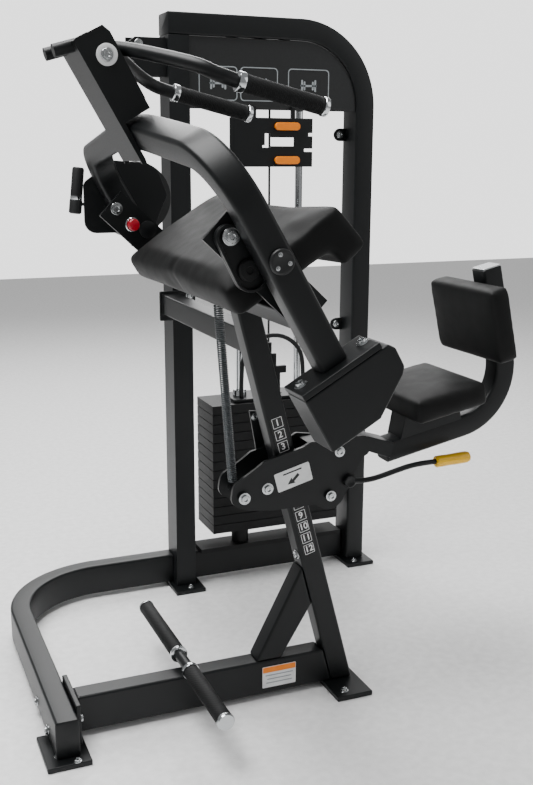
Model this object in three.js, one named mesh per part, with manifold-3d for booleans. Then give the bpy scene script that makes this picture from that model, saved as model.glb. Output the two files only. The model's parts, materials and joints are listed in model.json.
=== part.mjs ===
// Selectorised biceps-curl and triceps-extension machine, in millimetres, +Z up.
// The user sits on the +X side facing -X, the weight tower stands on the +Y side.
// All working dimensions are measured from the inner near corner of the base; the group at the end
// moves the machine so that the origin is on the floor under the middle of its box.
import * as THREE from 'three';
import { mergeVertices } from 'three/addons/utils/BufferGeometryUtils.js';
import Module from 'manifold-3d';

const wasm = await Module();
wasm.setup();

// ---- driving dimensions ----
const MID_X = 428.6; // middle of the machine's box, in working coordinates
const MID_Y = 163.5;
const GAP = 0.3; // clearance between touching pieces

const RAIL = 50; // width of the base rails
const RAIL_LOW = 12; // underside of the rails, on the foot plates
const RAIL_TOP = 92;
const USER_Y = 25; // middle plane of the user's seat, post and front rail

const TOWER_LEFT = 368; // outer faces of the tower in X
const TOWER_RIGHT = 945;
const TOWER_FRONT = 631;
const TOWER_BACK = 713;
const TOWER_TOP = 1520;
const UPRIGHT = 54; // face width of the uprights
const ARCH_RADIUS = 218; // outer radius of the tower's top corner
const ROD_Y = 672; // plane of the guide rods, the stack and the lift cable
const STACK_X = 655; // middle of the weight stack
const ROD_PITCH = 172;
const ROD_R = 10;

const PLATE_COUNT = 14; // weight plates in the stack
const PLATE_PITCH = 26;
const PLATE_GROOVE = 2;
const LIFTED_PLATES = 4;
const STACK_LOW = 158;
const STACK_WIDTH = 376;
const STACK_DEPTH = 130;

const POST_TAN = 0.2655; // lean of the seat post, X lost per unit of height
const POST_FOOT_X = 563.3; // post centre line at floor level
const POST_WIDTH = 50;

const PIVOT = { x: 236, z: 1010 }; // axis of the exercise arm, along Y
const ARM_LEAN = THREE.MathUtils.degToRad(29.7); // lean of the arm from vertical at rest
const YOKE_WIDTH = 54;
const YOKE_WALL = 50;
const YOKE_NEAR = -361; // middle of the near leg in Y
const YOKE_FAR = 504; // middle of the far leg in Y
const YOKE_APEX = 246; // height of the crossbar's middle along the arm

const CAM = { x: 265, z: 1073, r: 88 }; // eccentric disc of the cam, with the arm at rest
const PULLEY_R = 40; // running radius of the pulley beside the tower
const SMALL_PULLEY_R = 30; // running radius of the pulley over the stack
const CABLE_R = 3;

const PAD_NEAR = -290; // ends of the arm pad in Y
const PAD_FAR = 340;
const SEAT_NEAR = -105;
const SEAT_FAR = 155;

const black = { color: '#1f2325', roughness: 0.45, metalness: 0.35 };
const finishes = {
  frame: black,
  leather: { color: '#17191a', roughness: 0.7, metalness: 0 },
  rubber: { color: '#111313', roughness: 0.85, metalness: 0 },
  chrome: { color: '#c9cccf', roughness: 0.15, metalness: 1 },
  weight: { color: '#15181a', roughness: 0.6, metalness: 0.4 },
  panel: { color: '#23282b', roughness: 0.6, metalness: 0.1 },
  orange: { color: '#e08a14', roughness: 0.4, metalness: 0 },
  yellow: { color: '#f2b705', roughness: 0.4, metalness: 0 },
  red: { color: '#c4122f', roughness: 0.35, metalness: 0 },
  cable: { color: '#202224', roughness: 0.5, metalness: 0.2 },
};

const machine = new THREE.Group();

function add(name, geometry, finish) {
  const mesh = new THREE.Mesh(geometry, new THREE.MeshStandardMaterial(finishes[finish]));
  mesh.name = name;
  machine.add(mesh);
  return mesh;
}

// ---- directions ----
const X = new THREE.Vector3(1, 0, 0);
const Y = new THREE.Vector3(0, 1, 0);
const Z = new THREE.Vector3(0, 0, 1);
const armUp = new THREE.Vector3(-Math.sin(ARM_LEAN), 0, Math.cos(ARM_LEAN));
const armSide = new THREE.Vector3(Math.cos(ARM_LEAN), 0, Math.sin(ARM_LEAN));

function vec(x, y, z) {
  return new THREE.Vector3(x, y, z);
}

// a point on the exercise arm: across in Y, s along the arm from the pivot, n towards the user
function onArm(y, s, n = 0) {
  return vec(PIVOT.x, y, PIVOT.z).addScaledVector(armUp, s).addScaledVector(armSide, n);
}

// ---- geometry helpers ----
// a closed shape with its points taken anticlockwise
function shapeOf(outline) {
  const points = outline.map(([a, b]) => new THREE.Vector2(a, b));
  if (THREE.ShapeUtils.isClockWise(points)) {
    points.reverse();
  }
  return new THREE.Shape(points);
}

// an outline in the plane of u and v, drawn out along w from w0 to w1
function slab(outline, origin, u, v, w0, w1, holes = []) {
  const shape = outline instanceof THREE.Shape ? outline : shapeOf(outline);
  for (const [a, b, r] of holes) {
    const hole = new THREE.Path();
    hole.absarc(a, b, r, 0, Math.PI * 2, true);
    shape.holes.push(hole);
  }
  const w = new THREE.Vector3().crossVectors(u, v);
  const options = { depth: w1 - w0, bevelEnabled: false, curveSegments: 10 };
  const geometry = new THREE.ExtrudeGeometry(shape, options);
  const place = new THREE.Matrix4().makeBasis(u, v, w);
  place.setPosition(origin.clone().addScaledVector(w, w0));
  return geometry.applyMatrix4(place);
}

// outlines in the X-Z plane, drawn out in Y; Z x X = Y keeps the solid right-handed
function slabXZ(outline, y0, y1, holes = []) {
  const turned = outline instanceof THREE.Shape ? outline : outline.map(([x, z]) => [z, x]);
  const swapped = holes.map(([x, z, r]) => [z, x, r]);
  return slab(turned, vec(0, 0, 0), Z, X, y0, y1, swapped);
}

function slabYZ(outline, x0, x1, holes = []) {
  return slab(outline, vec(0, 0, 0), Y, Z, x0, x1, holes);
}

function slabXY(outline, z0, z1, holes = []) {
  return slab(outline, vec(0, 0, 0), X, Y, z0, z1, holes);
}

function box(x0, x1, y0, y1, z0, z1) {
  const geometry = new THREE.BoxGeometry(x1 - x0, y1 - y0, z1 - z0);
  return geometry.translate((x0 + x1) / 2, (y0 + y1) / 2, (z0 + z1) / 2);
}

function rod(from, to, radius, sides = 20, radiusTo = radius) {
  const along = to.clone().sub(from);
  const geometry = new THREE.CylinderGeometry(radiusTo, radius, along.length(), sides);
  geometry.applyQuaternion(new THREE.Quaternion().setFromUnitVectors(Y, along.clone().normalize()));
  const middle = from.clone().add(to).multiplyScalar(0.5);
  return geometry.translate(middle.x, middle.y, middle.z);
}

// a sleeve round the line from one point to another
function sleeve(from, to, inner, outer, sides = 20) {
  const length = to.distanceTo(from);
  const profile = [[inner, 0], [outer, 0], [outer, length], [inner, length], [inner, 0]];
  const geometry = new THREE.LatheGeometry(profile.map(([r, h]) => new THREE.Vector2(r, h)), sides);
  geometry.applyQuaternion(new THREE.Quaternion().setFromUnitVectors(Y, to.clone().sub(from).normalize()));
  return geometry.translate(from.x, from.y, from.z);
}

// a polyline with rounded corners, as points in a plane
function rounded(corners, radii, steps = 8) {
  const points = [corners[0]];
  for (let i = 1; i < corners.length - 1; i += 1) {
    const here = new THREE.Vector2(...corners[i]);
    const back = new THREE.Vector2(...corners[i - 1]).sub(here).normalize();
    const on = new THREE.Vector2(...corners[i + 1]).sub(here).normalize();
    const half = Math.acos(THREE.MathUtils.clamp(back.dot(on), -1, 1)) / 2;
    const reach = radii[i - 1] / Math.tan(half);
    const inward = back.clone().add(on).normalize();
    const centre = here.clone().add(inward.multiplyScalar(radii[i - 1] / Math.sin(half)));
    const start = here.clone().addScaledVector(back, reach).sub(centre);
    const end = here.clone().addScaledVector(on, reach).sub(centre);
    const turn = Math.atan2(start.x * end.y - start.y * end.x, start.dot(end));
    for (let k = 0; k <= steps; k += 1) {
      const arm = start.clone().rotateAround(new THREE.Vector2(), (turn * k) / steps);
      points.push([centre.x + arm.x, centre.y + arm.y]);
    }
  }
  points.push(corners[corners.length - 1]);
  return points;
}

// the outline of a band of constant width along a line of points
function band(points, width) {
  const left = [];
  const right = [];
  points.forEach((point, i) => {
    const before = points[Math.max(i - 1, 0)];
    const after = points[Math.min(i + 1, points.length - 1)];
    const along = new THREE.Vector2(after[0] - before[0], after[1] - before[1]).normalize();
    left.push([point[0] - (along.y * width) / 2, point[1] + (along.x * width) / 2]);
    right.push([point[0] + (along.y * width) / 2, point[1] - (along.x * width) / 2]);
  });
  return [...right, ...left.reverse()];
}

// a rectangle given by its middle, a direction and its half sizes
function tilted([cx, cz], [dx, dz], halfAlong, halfAcross) {
  const corner = (a, b) => [cx + dx * a - dz * b, cz + dz * a + dx * b];
  return [[-1, -1], [1, -1], [1, 1], [-1, 1]].map(([a, b]) => corner(a * halfAlong, b * halfAcross));
}

function roundedRect(x0, x1, y0, y1, r) {
  const shape = new THREE.Shape();
  shape.absarc(x1 - r, y0 + r, r, -Math.PI / 2, 0, false);
  shape.absarc(x1 - r, y1 - r, r, 0, Math.PI / 2, false);
  shape.absarc(x0 + r, y1 - r, r, Math.PI / 2, Math.PI, false);
  shape.absarc(x0 + r, y0 + r, r, Math.PI, Math.PI * 1.5, false);
  return shape;
}

// a round bar through the given points
function bar(points, radius, sides = 12, steps = 24) {
  const section = new THREE.Shape();
  section.absarc(0, 0, radius, 0, Math.PI * 2, false);
  const curve = new THREE.CatmullRomCurve3(points, false, 'centripetal');
  const options = { steps, bevelEnabled: false, extrudePath: curve, curveSegments: sides / 2 };
  return new THREE.ExtrudeGeometry(section, options);
}

// a curve that visits exactly the given points, so that straight runs stay straight
class Route extends THREE.Curve {
  constructor(points) {
    super();
    this.points = points;
  }

  place(u) {
    return Math.round(u * (this.points.length - 1));
  }

  getPointAt(u, target = new THREE.Vector3()) {
    return target.copy(this.points[this.place(u)]);
  }

  getTangentAt(u, target = new THREE.Vector3()) {
    const i = this.place(u);
    const before = this.points[Math.max(i - 1, 0)];
    const after = this.points[Math.min(i + 1, this.points.length - 1)];
    const back = this.points[i].clone().sub(before).normalize();
    const on = after.clone().sub(this.points[i]).normalize();
    return target.copy(back.add(on).normalize());
  }
}

function tube(points, radius, sides) {
  const section = new THREE.Shape();
  section.absarc(0, 0, radius, 0, Math.PI * 2, false);
  return new THREE.ExtrudeGeometry(section, {
    steps: points.length - 1, bevelEnabled: false, extrudePath: new Route(points), curveSegments: sides / 2,
  });
}

function solid(geometry) {
  const bare = geometry.clone();
  bare.deleteAttribute('normal');
  bare.deleteAttribute('uv');
  const merged = mergeVertices(bare, 1e-4);
  return new wasm.Manifold(new wasm.Mesh({
    numProp: 3,
    vertProperties: new Float32Array(merged.attributes.position.array),
    triVerts: new Uint32Array(merged.index.array),
  }));
}

function geometryOf(manifold) {
  const mesh = manifold.getMesh();
  const geometry = new THREE.BufferGeometry();
  geometry.setAttribute('position', new THREE.BufferAttribute(new Float32Array(mesh.vertProperties), 3));
  geometry.setIndex([...mesh.triVerts]);
  geometry.computeVertexNormals();
  return geometry;
}

function joined(...geometries) {
  return geometryOf(geometries.map(solid).reduce((whole, piece) => whole.add(piece)));
}

function cut(geometry, ...tools) {
  return geometryOf(tools.map(solid).reduce((whole, tool) => whole.subtract(tool), solid(geometry)));
}

// ---- base ----
const leftRailX = -84; // middle of the left rail
const backRailY = TOWER_BACK - RAIL / 2;
const baseLine = rounded([
  [leftRailX, -83], [leftRailX, backRailY], [TOWER_LEFT - GAP, backRailY],
], [235], 12);
add('base_bent_rail', slabXY(band(baseLine, RAIL - 2), RAIL_LOW, RAIL_TOP), 'frame');

const postHalfX = (POST_WIDTH / 2) * Math.hypot(1, POST_TAN);
const postEdge = (z, side) => POST_FOOT_X - POST_TAN * z + side * postHalfX;
const jointX = leftRailX + RAIL / 2;
add('rail_joint_plate', box(jointX, jointX + 11, -46, 92, RAIL_LOW, 100), 'frame');
add('front_rail', slabXZ([
  [jointX + 11 + GAP, RAIL_LOW],
  [postEdge(RAIL_LOW, -1) - GAP, RAIL_LOW],
  [postEdge(RAIL_TOP, -1) - GAP, RAIL_TOP],
  [jointX + 11 + GAP, RAIL_TOP],
], 0, RAIL - 1), 'frame');

const feet = {
  foot_front_left: [-130, -41, -106, 20],
  foot_front_right: [514, 600, -75, 130],
  foot_tower_left: [354, 438, 592, 737],
  foot_tower_right: [877, 961, 592, 737],
};
for (const [name, [x0, x1, y0, y1]] of Object.entries(feet)) {
  add(name, box(x0, x1, y0, y1, 0, RAIL_LOW - GAP), 'frame');
}

// ---- tower ----
const cableTop = TOWER_TOP - UPRIGHT - 14; // height of the cable's level run
add('tower_left_upright', slabYZ([
  [TOWER_FRONT, RAIL_LOW], [TOWER_BACK, RAIL_LOW],
  [TOWER_BACK, TOWER_TOP - UPRIGHT - GAP], [TOWER_FRONT, TOWER_TOP - UPRIGHT - GAP],
], TOWER_LEFT, TOWER_LEFT + UPRIGHT, [[ROD_Y - 8, cableTop - 2, 11]]), 'frame');

const archLine = rounded([
  [TOWER_LEFT, TOWER_TOP - UPRIGHT / 2],
  [TOWER_RIGHT - UPRIGHT / 2, TOWER_TOP - UPRIGHT / 2],
  [TOWER_RIGHT - UPRIGHT / 2, RAIL_LOW],
], [ARCH_RADIUS - UPRIGHT / 2], 10);
const archTube = slabXZ(band(archLine, UPRIGHT), TOWER_FRONT, TOWER_BACK);
const lugX = TOWER_RIGHT - UPRIGHT;
const lugHeights = [1232, 708];
const lugs = lugHeights.map((z) => (
  box(lugX - 34, lugX + 5, TOWER_BACK - 20, TOWER_BACK - 14, z - 17, z + 17)));
// two hanging cheeks and a pin carry the pulley over the middle of the stack
const pulleyMiddle = vec(STACK_X - SMALL_PULLEY_R, ROD_Y, cableTop - SMALL_PULLEY_R);
const ceiling = TOWER_TOP - UPRIGHT + 2;
const hangers = [-14.5, 14.5].map((y) => box(
  pulleyMiddle.x - 12, pulleyMiddle.x + 12, ROD_Y + y - 2.5, ROD_Y + y + 2.5,
  pulleyMiddle.z - 14, ceiling));
const hangerPin = rod(
  pulleyMiddle.clone().add(vec(0, -16, 0)), pulleyMiddle.clone().add(vec(0, 16, 0)), 6, 16);
// a shelf on two straps behind the panel holds the tops of the guide rods
const rodX = [STACK_X - ROD_PITCH / 2, STACK_X + ROD_PITCH / 2];
const shelfZ = 1362;
const shelf = cut(
  box(rodX[0] - 24, rodX[1] + 24, ROD_Y - 22, ROD_Y + 32, shelfZ, shelfZ + 8),
  rod(vec(STACK_X, ROD_Y, shelfZ - 5), vec(STACK_X, ROD_Y, shelfZ + 13), 9, 16),
);
const straps = [[rodX[0] - 24, rodX[0] + 10], [rodX[1] - 50, rodX[1] - 16]].map(([x0, x1]) => box(
  x0, x1, ROD_Y + 24, ROD_Y + 32, shelfZ + 2, ceiling));
add('tower_arch', joined(archTube, ...lugs, ...hangers, hangerPin, shelf, ...straps), 'frame');

add('tower_base_rail', box(
  TOWER_LEFT + UPRIGHT + GAP, lugX - GAP, backRailY - 24, backRailY + 24, RAIL_LOW, RAIL_TOP,
), 'frame');

const panelTop = TOWER_TOP - UPRIGHT - 1;
const panelRight = lugX - 1;
const panel = new THREE.Shape();
panel.moveTo(TOWER_LEFT + UPRIGHT + 1, 1291);
panel.lineTo(panelRight, 1291);
panel.absarc(panelRight - 163, panelTop - 163, 163, 0, Math.PI / 2, false);
panel.lineTo(TOWER_LEFT + UPRIGHT + 1, panelTop);
add('info_panel', slab(panel, vec(0, 0, 0), X, Z, -TOWER_FRONT - 12, -TOWER_FRONT - 8), 'panel');

// ---- weight stack ----
const rodTop = shelfZ - GAP;
add('guide_rod_left', rod(vec(rodX[0], ROD_Y, 110), vec(rodX[0], ROD_Y, rodTop), ROD_R), 'chrome');
add('guide_rod_right', rod(vec(rodX[1], ROD_Y, 110), vec(rodX[1], ROD_Y, rodTop), ROD_R), 'chrome');

// a cross plate on the base rail that carries the two rubber bumpers under the stack
const bumper = (x) => sleeve(vec(x, ROD_Y, 104), vec(x, ROD_Y, STACK_LOW - 1), ROD_R + 1, 24, 24);
const stackFoot = cut(
  box(TOWER_LEFT + UPRIGHT + 20, lugX - 20, TOWER_FRONT + 6, TOWER_BACK - 2, RAIL_TOP + GAP, 105),
  ...rodX.map((x) => rod(vec(x, ROD_Y, 109), vec(x, ROD_Y, 120), ROD_R)),
);
add('stack_base', joined(stackFoot, ...rodX.map(bumper)), 'rubber');

// plates lie on each other with a thin groove all round between them
function plateStack(low, count) {
  const solids = [];
  for (let i = 0; i < count; i += 1) {
    const z = low + i * PLATE_PITCH;
    const halfX = STACK_WIDTH / 2;
    const halfY = STACK_DEPTH / 2;
    solids.push(box(
      STACK_X - halfX, STACK_X + halfX, ROD_Y - halfY, ROD_Y + halfY, z, z + PLATE_PITCH - PLATE_GROOVE));
    if (i < count - 1) {
      const neck = z + PLATE_PITCH - PLATE_GROOVE - 1;
      solids.push(box(
        STACK_X - halfX + 4, STACK_X + halfX - 4, ROD_Y - halfY + 4, ROD_Y + halfY - 4,
        neck, neck + PLATE_GROOVE + 2));
    }
  }
  const top = low + count * PLATE_PITCH;
  const bores = rodX.map((x) => rod(vec(x, ROD_Y, low - 5), vec(x, ROD_Y, top + 5), ROD_R + 1.5));
  const spine = rod(vec(STACK_X, ROD_Y, low - 5), vec(STACK_X, ROD_Y, top + 5), 14);
  return cut(joined(...solids), ...bores, spine);
}
const pinPlateZ = STACK_LOW + (PLATE_COUNT - LIFTED_PLATES) * PLATE_PITCH;
add('stack_lower', plateStack(STACK_LOW, PLATE_COUNT - LIFTED_PLATES), 'weight');
const pinZ = pinPlateZ + (PLATE_PITCH - PLATE_GROOVE) / 2;
const pinFront = ROD_Y - STACK_DEPTH / 2;
const pinHole = rod(vec(STACK_X, pinFront - 5, pinZ), vec(STACK_X, ROD_Y - 10, pinZ), 5.5, 16);
add('stack_upper', cut(plateStack(pinPlateZ, LIFTED_PLATES), pinHole), 'weight');
add('selector_pin', joined(
  rod(vec(STACK_X, pinFront - 3, pinZ), vec(STACK_X, ROD_Y - 15, pinZ), 5, 16),
  rod(vec(STACK_X, pinFront - 33, pinZ), vec(STACK_X, pinFront - 2, pinZ), 14, 16),
), 'yellow');

// the notched plate and the rod that hang the stack from the cable
const stackTop = STACK_LOW + PLATE_COUNT * PLATE_PITCH;
const stemPlate = slabXZ([
  [STACK_X - 34, stackTop + GAP], [STACK_X + 34, stackTop + GAP], [STACK_X + 34, stackTop + 62],
  [STACK_X + 52, stackTop + 62], [STACK_X + 52, stackTop + 82], [STACK_X + 22, stackTop + 82],
  [STACK_X + 22, stackTop + 118], [STACK_X - 22, stackTop + 118], [STACK_X - 22, stackTop + 98],
  [STACK_X - 34, stackTop + 98],
], ROD_Y - 5, ROD_Y + 5);
add('selector_stem', joined(
  stemPlate,
  rod(vec(STACK_X, ROD_Y, pinZ + 8), vec(STACK_X, ROD_Y, stackTop + 20), 12),
  rod(vec(STACK_X, ROD_Y, stackTop + 100), vec(STACK_X, ROD_Y, stackTop + 150), 9),
), 'weight');

const hoopR = 92;
const hoopFoot = stackTop + 5;
const hoop = [vec(STACK_X - hoopR, ROD_Y - 30, hoopFoot), vec(STACK_X - hoopR, ROD_Y - 30, hoopFoot + 50)];
for (let i = 1; i < 8; i += 1) {
  const angle = Math.PI - (i * Math.PI) / 8;
  hoop.push(vec(STACK_X + hoopR * Math.cos(angle), ROD_Y - 30, hoopFoot + 78 + hoopR * Math.sin(angle)));
}
hoop.push(vec(STACK_X + hoopR, ROD_Y - 30, hoopFoot + 50), vec(STACK_X + hoopR, ROD_Y - 30, hoopFoot));
const hoopPlate = cut(
  box(STACK_X - 120, STACK_X + 120, ROD_Y - 50, ROD_Y + 50, stackTop + GAP, hoopFoot + 2),
  ...rodX.map((x) => rod(vec(x, ROD_Y, stackTop - 5), vec(x, ROD_Y, hoopFoot + 9), ROD_R + 2)),
  box(STACK_X - 36, STACK_X + 36, ROD_Y - 14, ROD_Y + 14, stackTop - 5, hoopFoot + 9),
);
add('stack_hoop', joined(hoopPlate, bar(hoop, 6, 10, 30)), 'frame');

// ---- add-on weight unit under the panel ----
const addOn = new THREE.Shape([
  [528, 1147], [760, 1147], [760, 1186], [736, 1186], [736, 1194], [760, 1194], [760, 1226], [748, 1226],
  [748, 1234], [760, 1234], [760, 1271], [528, 1271],
].map(([x, z]) => new THREE.Vector2(x, z)));
const addOnWindow = new THREE.Path([
  [617, 1196], [640, 1196], [640, 1200], [708, 1200], [708, 1222], [640, 1222], [640, 1232], [624, 1232],
  [624, 1202], [617, 1202],
].map(([x, z]) => new THREE.Vector2(x, z)));
addOn.holes.push(addOnWindow);
add('increment_plate', joined(
  slab(addOn, vec(0, 0, 0), X, Z, -TOWER_FRONT - 4, -TOWER_FRONT + 4),
  box(590, 600, TOWER_FRONT - 3, TOWER_FRONT + 8, 1262, 1300),
  box(700, 710, TOWER_FRONT - 3, TOWER_FRONT + 8, 1262, 1300),
), 'frame');
for (const [name, z] of [['increment_lever_upper', 1250], ['increment_lever_lower', 1164]]) {
  const tabOutline = roundedRect(650, 720, z - 10, z + 10, 9.5);
  const tab = slab(tabOutline, vec(0, 0, 0), X, Z, 4 + GAP - TOWER_FRONT, 15 - TOWER_FRONT);
  add(name, tab, 'orange');
}

// ---- post, brace and head ----
const beamSide = 907.2; // the post stops against the slanted side of the cross beam
add('post', slabXZ([
  [postEdge(RAIL_LOW, -1), RAIL_LOW], [postEdge(RAIL_LOW, 1), RAIL_LOW],
  [postEdge(beamSide, 1), beamSide], [330.3, beamSide], [304.9, 879.6],
], 0, RAIL), 'frame');
const braceTop = { left: 299, right: 208 };
add('brace', slabXZ([
  [350, RAIL_TOP + GAP], [410, RAIL_TOP + GAP],
  [postEdge(braceTop.right, -1) - GAP, braceTop.right], [postEdge(braceTop.left, -1) - GAP, braceTop.left],
], 0, RAIL - 1), 'frame');

// side plates at both ends of the arm pad carry the pivots; they are tied by a beam below the pad
const plateDown = [0.731, -0.682];
const plateUp = [0.682, 0.731];
const plateCorner = [126, 1043];
const plateLong = 241;
const plateWide = 74;
function onPlate(a, b) {
  return [0, 1].map((i) => plateCorner[i] + plateDown[i] * a + plateUp[i] * b);
}
const plateCorners = [[0, 0], [plateLong, 0], [plateLong, plateWide], [0, plateWide]];
const plateOutline = plateCorners.map(([a, b]) => onPlate(a, b));
const SHAFT_R = 15;
const nearPlate = [-318, -310];
const farPlate = [390, 400];
const pinSpot = [199, 1022];
add('side_plate_near', slabXZ(plateOutline, ...nearPlate, [[PIVOT.x, PIVOT.z, SHAFT_R + 0.5]]), 'frame');
add('side_plate_far', slabXZ(plateOutline, ...farPlate, [
  [PIVOT.x, PIVOT.z, SHAFT_R + 0.5], [...pinSpot, 8.5],
]), 'frame');
add('cross_beam', slabXZ([
  onPlate(plateLong - 60, 0), onPlate(plateLong, 0), onPlate(plateLong, 40), onPlate(plateLong - 60, 40),
], nearPlate[1] + GAP, farPlate[0] - GAP), 'frame');

// a stadium-shaped stop plate with its rubber block on the near side plate
const stopA = [166, 1046];
const stopB = [206, 985];
const stadium = new THREE.Shape();
const stopAngle = Math.atan2(stopB[0] - stopA[0], stopB[1] - stopA[1]);
stadium.absarc(stopA[1], stopA[0], 22, stopAngle + Math.PI / 2, stopAngle + Math.PI * 1.5, false);
stadium.absarc(stopB[1], stopB[0], 30, stopAngle - Math.PI / 2, stopAngle + Math.PI / 2, false);
const bumperShaft = rod(vec(PIVOT.x, -330, PIVOT.z), vec(PIVOT.x, -310, PIVOT.z), SHAFT_R + 1);
const bumperSlab = slab(stadium, vec(0, 0, 0), Z, X, -326, nearPlate[0] - GAP);
add('bumper_plate_near', cut(bumperSlab, bumperShaft), 'frame');

// ---- arm pad ----
add('arm_pad', slabXZ([
  [169, 953], [201.6, 903], [375.6, 1015], [402.5, 984], [448, 1023], [387, 1094],
], PAD_NEAR, PAD_FAR), 'leather');

// ---- link from the post to the tower, with its collar on the left upright ----
const linkZ = 800;
const linkX = [338, 388];
add('frame_link', joined(
  box(linkX[0], linkX[1], RAIL + GAP, TOWER_FRONT - 8, linkZ - 25, linkZ + 25),
  box(331, 428, TOWER_FRONT - 9, TOWER_FRONT - GAP, 757, 834),
), 'frame');

// ---- foot pegs ----
const pegX = 193;
const pegZ = 112;
add('peg_bar', rod(vec(pegX, -232, pegZ), vec(pegX, 322, pegZ), 12), 'frame');
add('peg_sleeve_near', sleeve(vec(pegX, -226, pegZ), vec(pegX, -22, pegZ), 12 + GAP, 17), 'rubber');
add('peg_sleeve_far', sleeve(vec(pegX, 72, pegZ), vec(pegX, 316, pegZ), 12 + GAP, 17), 'rubber');

// ---- exercise arm ----
const yokeLine = rounded([
  [YOKE_NEAR, -205], [YOKE_NEAR, 192], [45, YOKE_APEX + 4], [YOKE_FAR, 192], [YOKE_FAR, -42],
], [118, 900, 100], 8);
const nearCapY = -386 - GAP;
const nearShaftEnd = -296;
const farShaft = [391, 622];
const shaftCut = rod(vec(PIVOT.x, 470, PIVOT.z), vec(PIVOT.x, 540, PIVOT.z), SHAFT_R + GAP);
const nearCut = rod(vec(PIVOT.x, -395, PIVOT.z), vec(PIVOT.x, -330, PIVOT.z), SHAFT_R + GAP);
const yokeBand = slab(
  band(yokeLine, YOKE_WALL), vec(PIVOT.x, 0, PIVOT.z), Y, armUp, -YOKE_WIDTH / 2, YOKE_WIDTH / 2);
add('yoke', cut(yokeBand, shaftCut, nearCut), 'frame');

add('pivot_shaft_near', joined(
  rod(vec(PIVOT.x, -390, PIVOT.z), vec(PIVOT.x, nearShaftEnd, PIVOT.z), SHAFT_R, 24),
  rod(vec(PIVOT.x, nearCapY - 7, PIVOT.z), vec(PIVOT.x, nearCapY, PIVOT.z), 18, 24, 20),
), 'frame');
add('pivot_shaft_far', rod(
  vec(PIVOT.x, farShaft[0], PIVOT.z), vec(PIVOT.x, farShaft[1], PIVOT.z), SHAFT_R, 24,
), 'chrome');

// flange across the end of the near leg, and the counterweight bolted under it
const flangeS = -205;
const weightY = [-410, -332];
const flangeN = [-84, 80];
add('yoke_flange', slab([
  [weightY[0], flangeS - 12], [weightY[1], flangeS - 12],
  [weightY[1], flangeS - GAP], [weightY[0], flangeS - GAP],
], vec(PIVOT.x, 0, PIVOT.z), Y, armUp, ...flangeN), 'frame');
const weightTop = flangeS - 12 - GAP;
add('counterweight', slab([
  [weightTop, -84], [weightTop, 92], [weightTop - 14, 102], [weightTop - 52, 102], [weightTop - 64, 92],
  [weightTop - 108, 20], [weightTop - 108, -84],
], vec(PIVOT.x, 0, PIVOT.z), armUp, armSide, ...weightY), 'frame');

// channel on the crossbar that holds the handle pivot; its two cheeks straddle the bar
const cheek = [[-37, 292], [27, 292], [29, 420], [22, 436], [-33, 438]];
const carrierY = [-40, 90];
const crossTop = YOKE_APEX + YOKE_WALL / 2;
const cheeks = [[carrierY[0], carrierY[0] + 8], [carrierY[1] - 8, carrierY[1]]];
function armPlate(outline, y0, y1) {
  return slab(outline.map(([n, s]) => [s, n]), vec(PIVOT.x, 0, PIVOT.z), armUp, armSide, y0, y1);
}
const tongue = [[-38, 195], [-30, 190], [-YOKE_WIDTH / 2 - 1, 200], [-YOKE_WIDTH / 2 - 1, 300], [-38, 300]];
const carrierFoot = armPlate([
  [-38, crossTop + 2], [26, crossTop + 2], [26, crossTop + 22], [-38, crossTop + 22],
], ...carrierY);
const carrierWeb = armPlate([[-38, 200], [-32, 200], [-32, 437], [-38, 437]], ...carrierY);
const pegs = [-12, 66].map((y) => rod(onArm(y, 428, -30), onArm(y, 438, -72), 12, 16));
add('handle_carrier', joined(
  ...pegs,
  ...cheeks.map(([y0, y1]) => armPlate(cheek, y0, y1)),
  ...cheeks.map(([y0, y1]) => armPlate(tongue, y0, y1)),
  carrierFoot,
  carrierWeb,
), 'frame');

// ---- handles ----
const hubAt = (y) => onArm(y, 389, 3);
const gripFrom = vec(245, 0, 1303);
const gripTo = vec(409, 0, 1264);
const barR = 13;
const handleY = { near: -165, far: 210 };
function branch(y, inner) {
  const bend = new THREE.CatmullRomCurve3([
    onArm(inner, 389, 8), onArm(inner, 386, 38), vec(165, y * 0.82 + inner * 0.18, 1333),
    vec(208, y, 1314), vec(gripFrom.x, y, gripFrom.z),
  ], false, 'centripetal');
  return tube([...bend.getPoints(20), vec(gripTo.x + 6, y, gripTo.z - 1.5)], barR, 12);
}
const hub = rod(hubAt(-25), hubAt(75), 20, 20);
const tail = armPlate([[-14, 384], [-14, 400], [-26, 400], [-26, 384]], -20, 70);
add('handle_frame', joined(hub, branch(handleY.near, -8), branch(handleY.far, 58), tail), 'frame');
for (const [name, y] of Object.entries(handleY)) {
  const start = vec(gripFrom.x + 12, y, gripFrom.z - 2.9);
  const end = vec(gripTo.x, y, gripTo.z);
  add(`grip_${name}`, sleeve(start, end, barR + 2 * GAP, 16.5, 20), 'rubber');
}

// ---- start stop and range pin on the far side ----
const stopOutline = rounded([
  [313, 1045], [292, 993], [124, 993], [124, 1112], [196, 1164], [282, 1157], [306, 1141],
  [330, 1081], [313, 1045],
], [24, 28, 20, 16, 14, 10, 12], 5).slice(0, -1);
const stopY = [536, 544];
add('stop_plate', slabXZ(stopOutline, ...stopY, [[PIVOT.x, PIVOT.z, SHAFT_R + 0.5]]), 'frame');
const leverY = (stopY[0] + stopY[1]) / 2;
add('stop_handle', joined(
  rod(vec(114, leverY, 1148), vec(106, leverY, 1076), 14, 16),
  rod(vec(106, leverY, 1077), vec(102, leverY, 1040), 15, 16),
  rod(vec(106, leverY, 1062), vec(123, leverY, 1062), 4, 12),
), 'rubber');
add('range_pin', joined(
  rod(vec(pinSpot[0], 386, pinSpot[1]), vec(pinSpot[0], 412, pinSpot[1]), 7, 16),
  rod(vec(pinSpot[0], 366, pinSpot[1]), vec(pinSpot[0], 387, pinSpot[1]), 15, 20),
), 'red');

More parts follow.
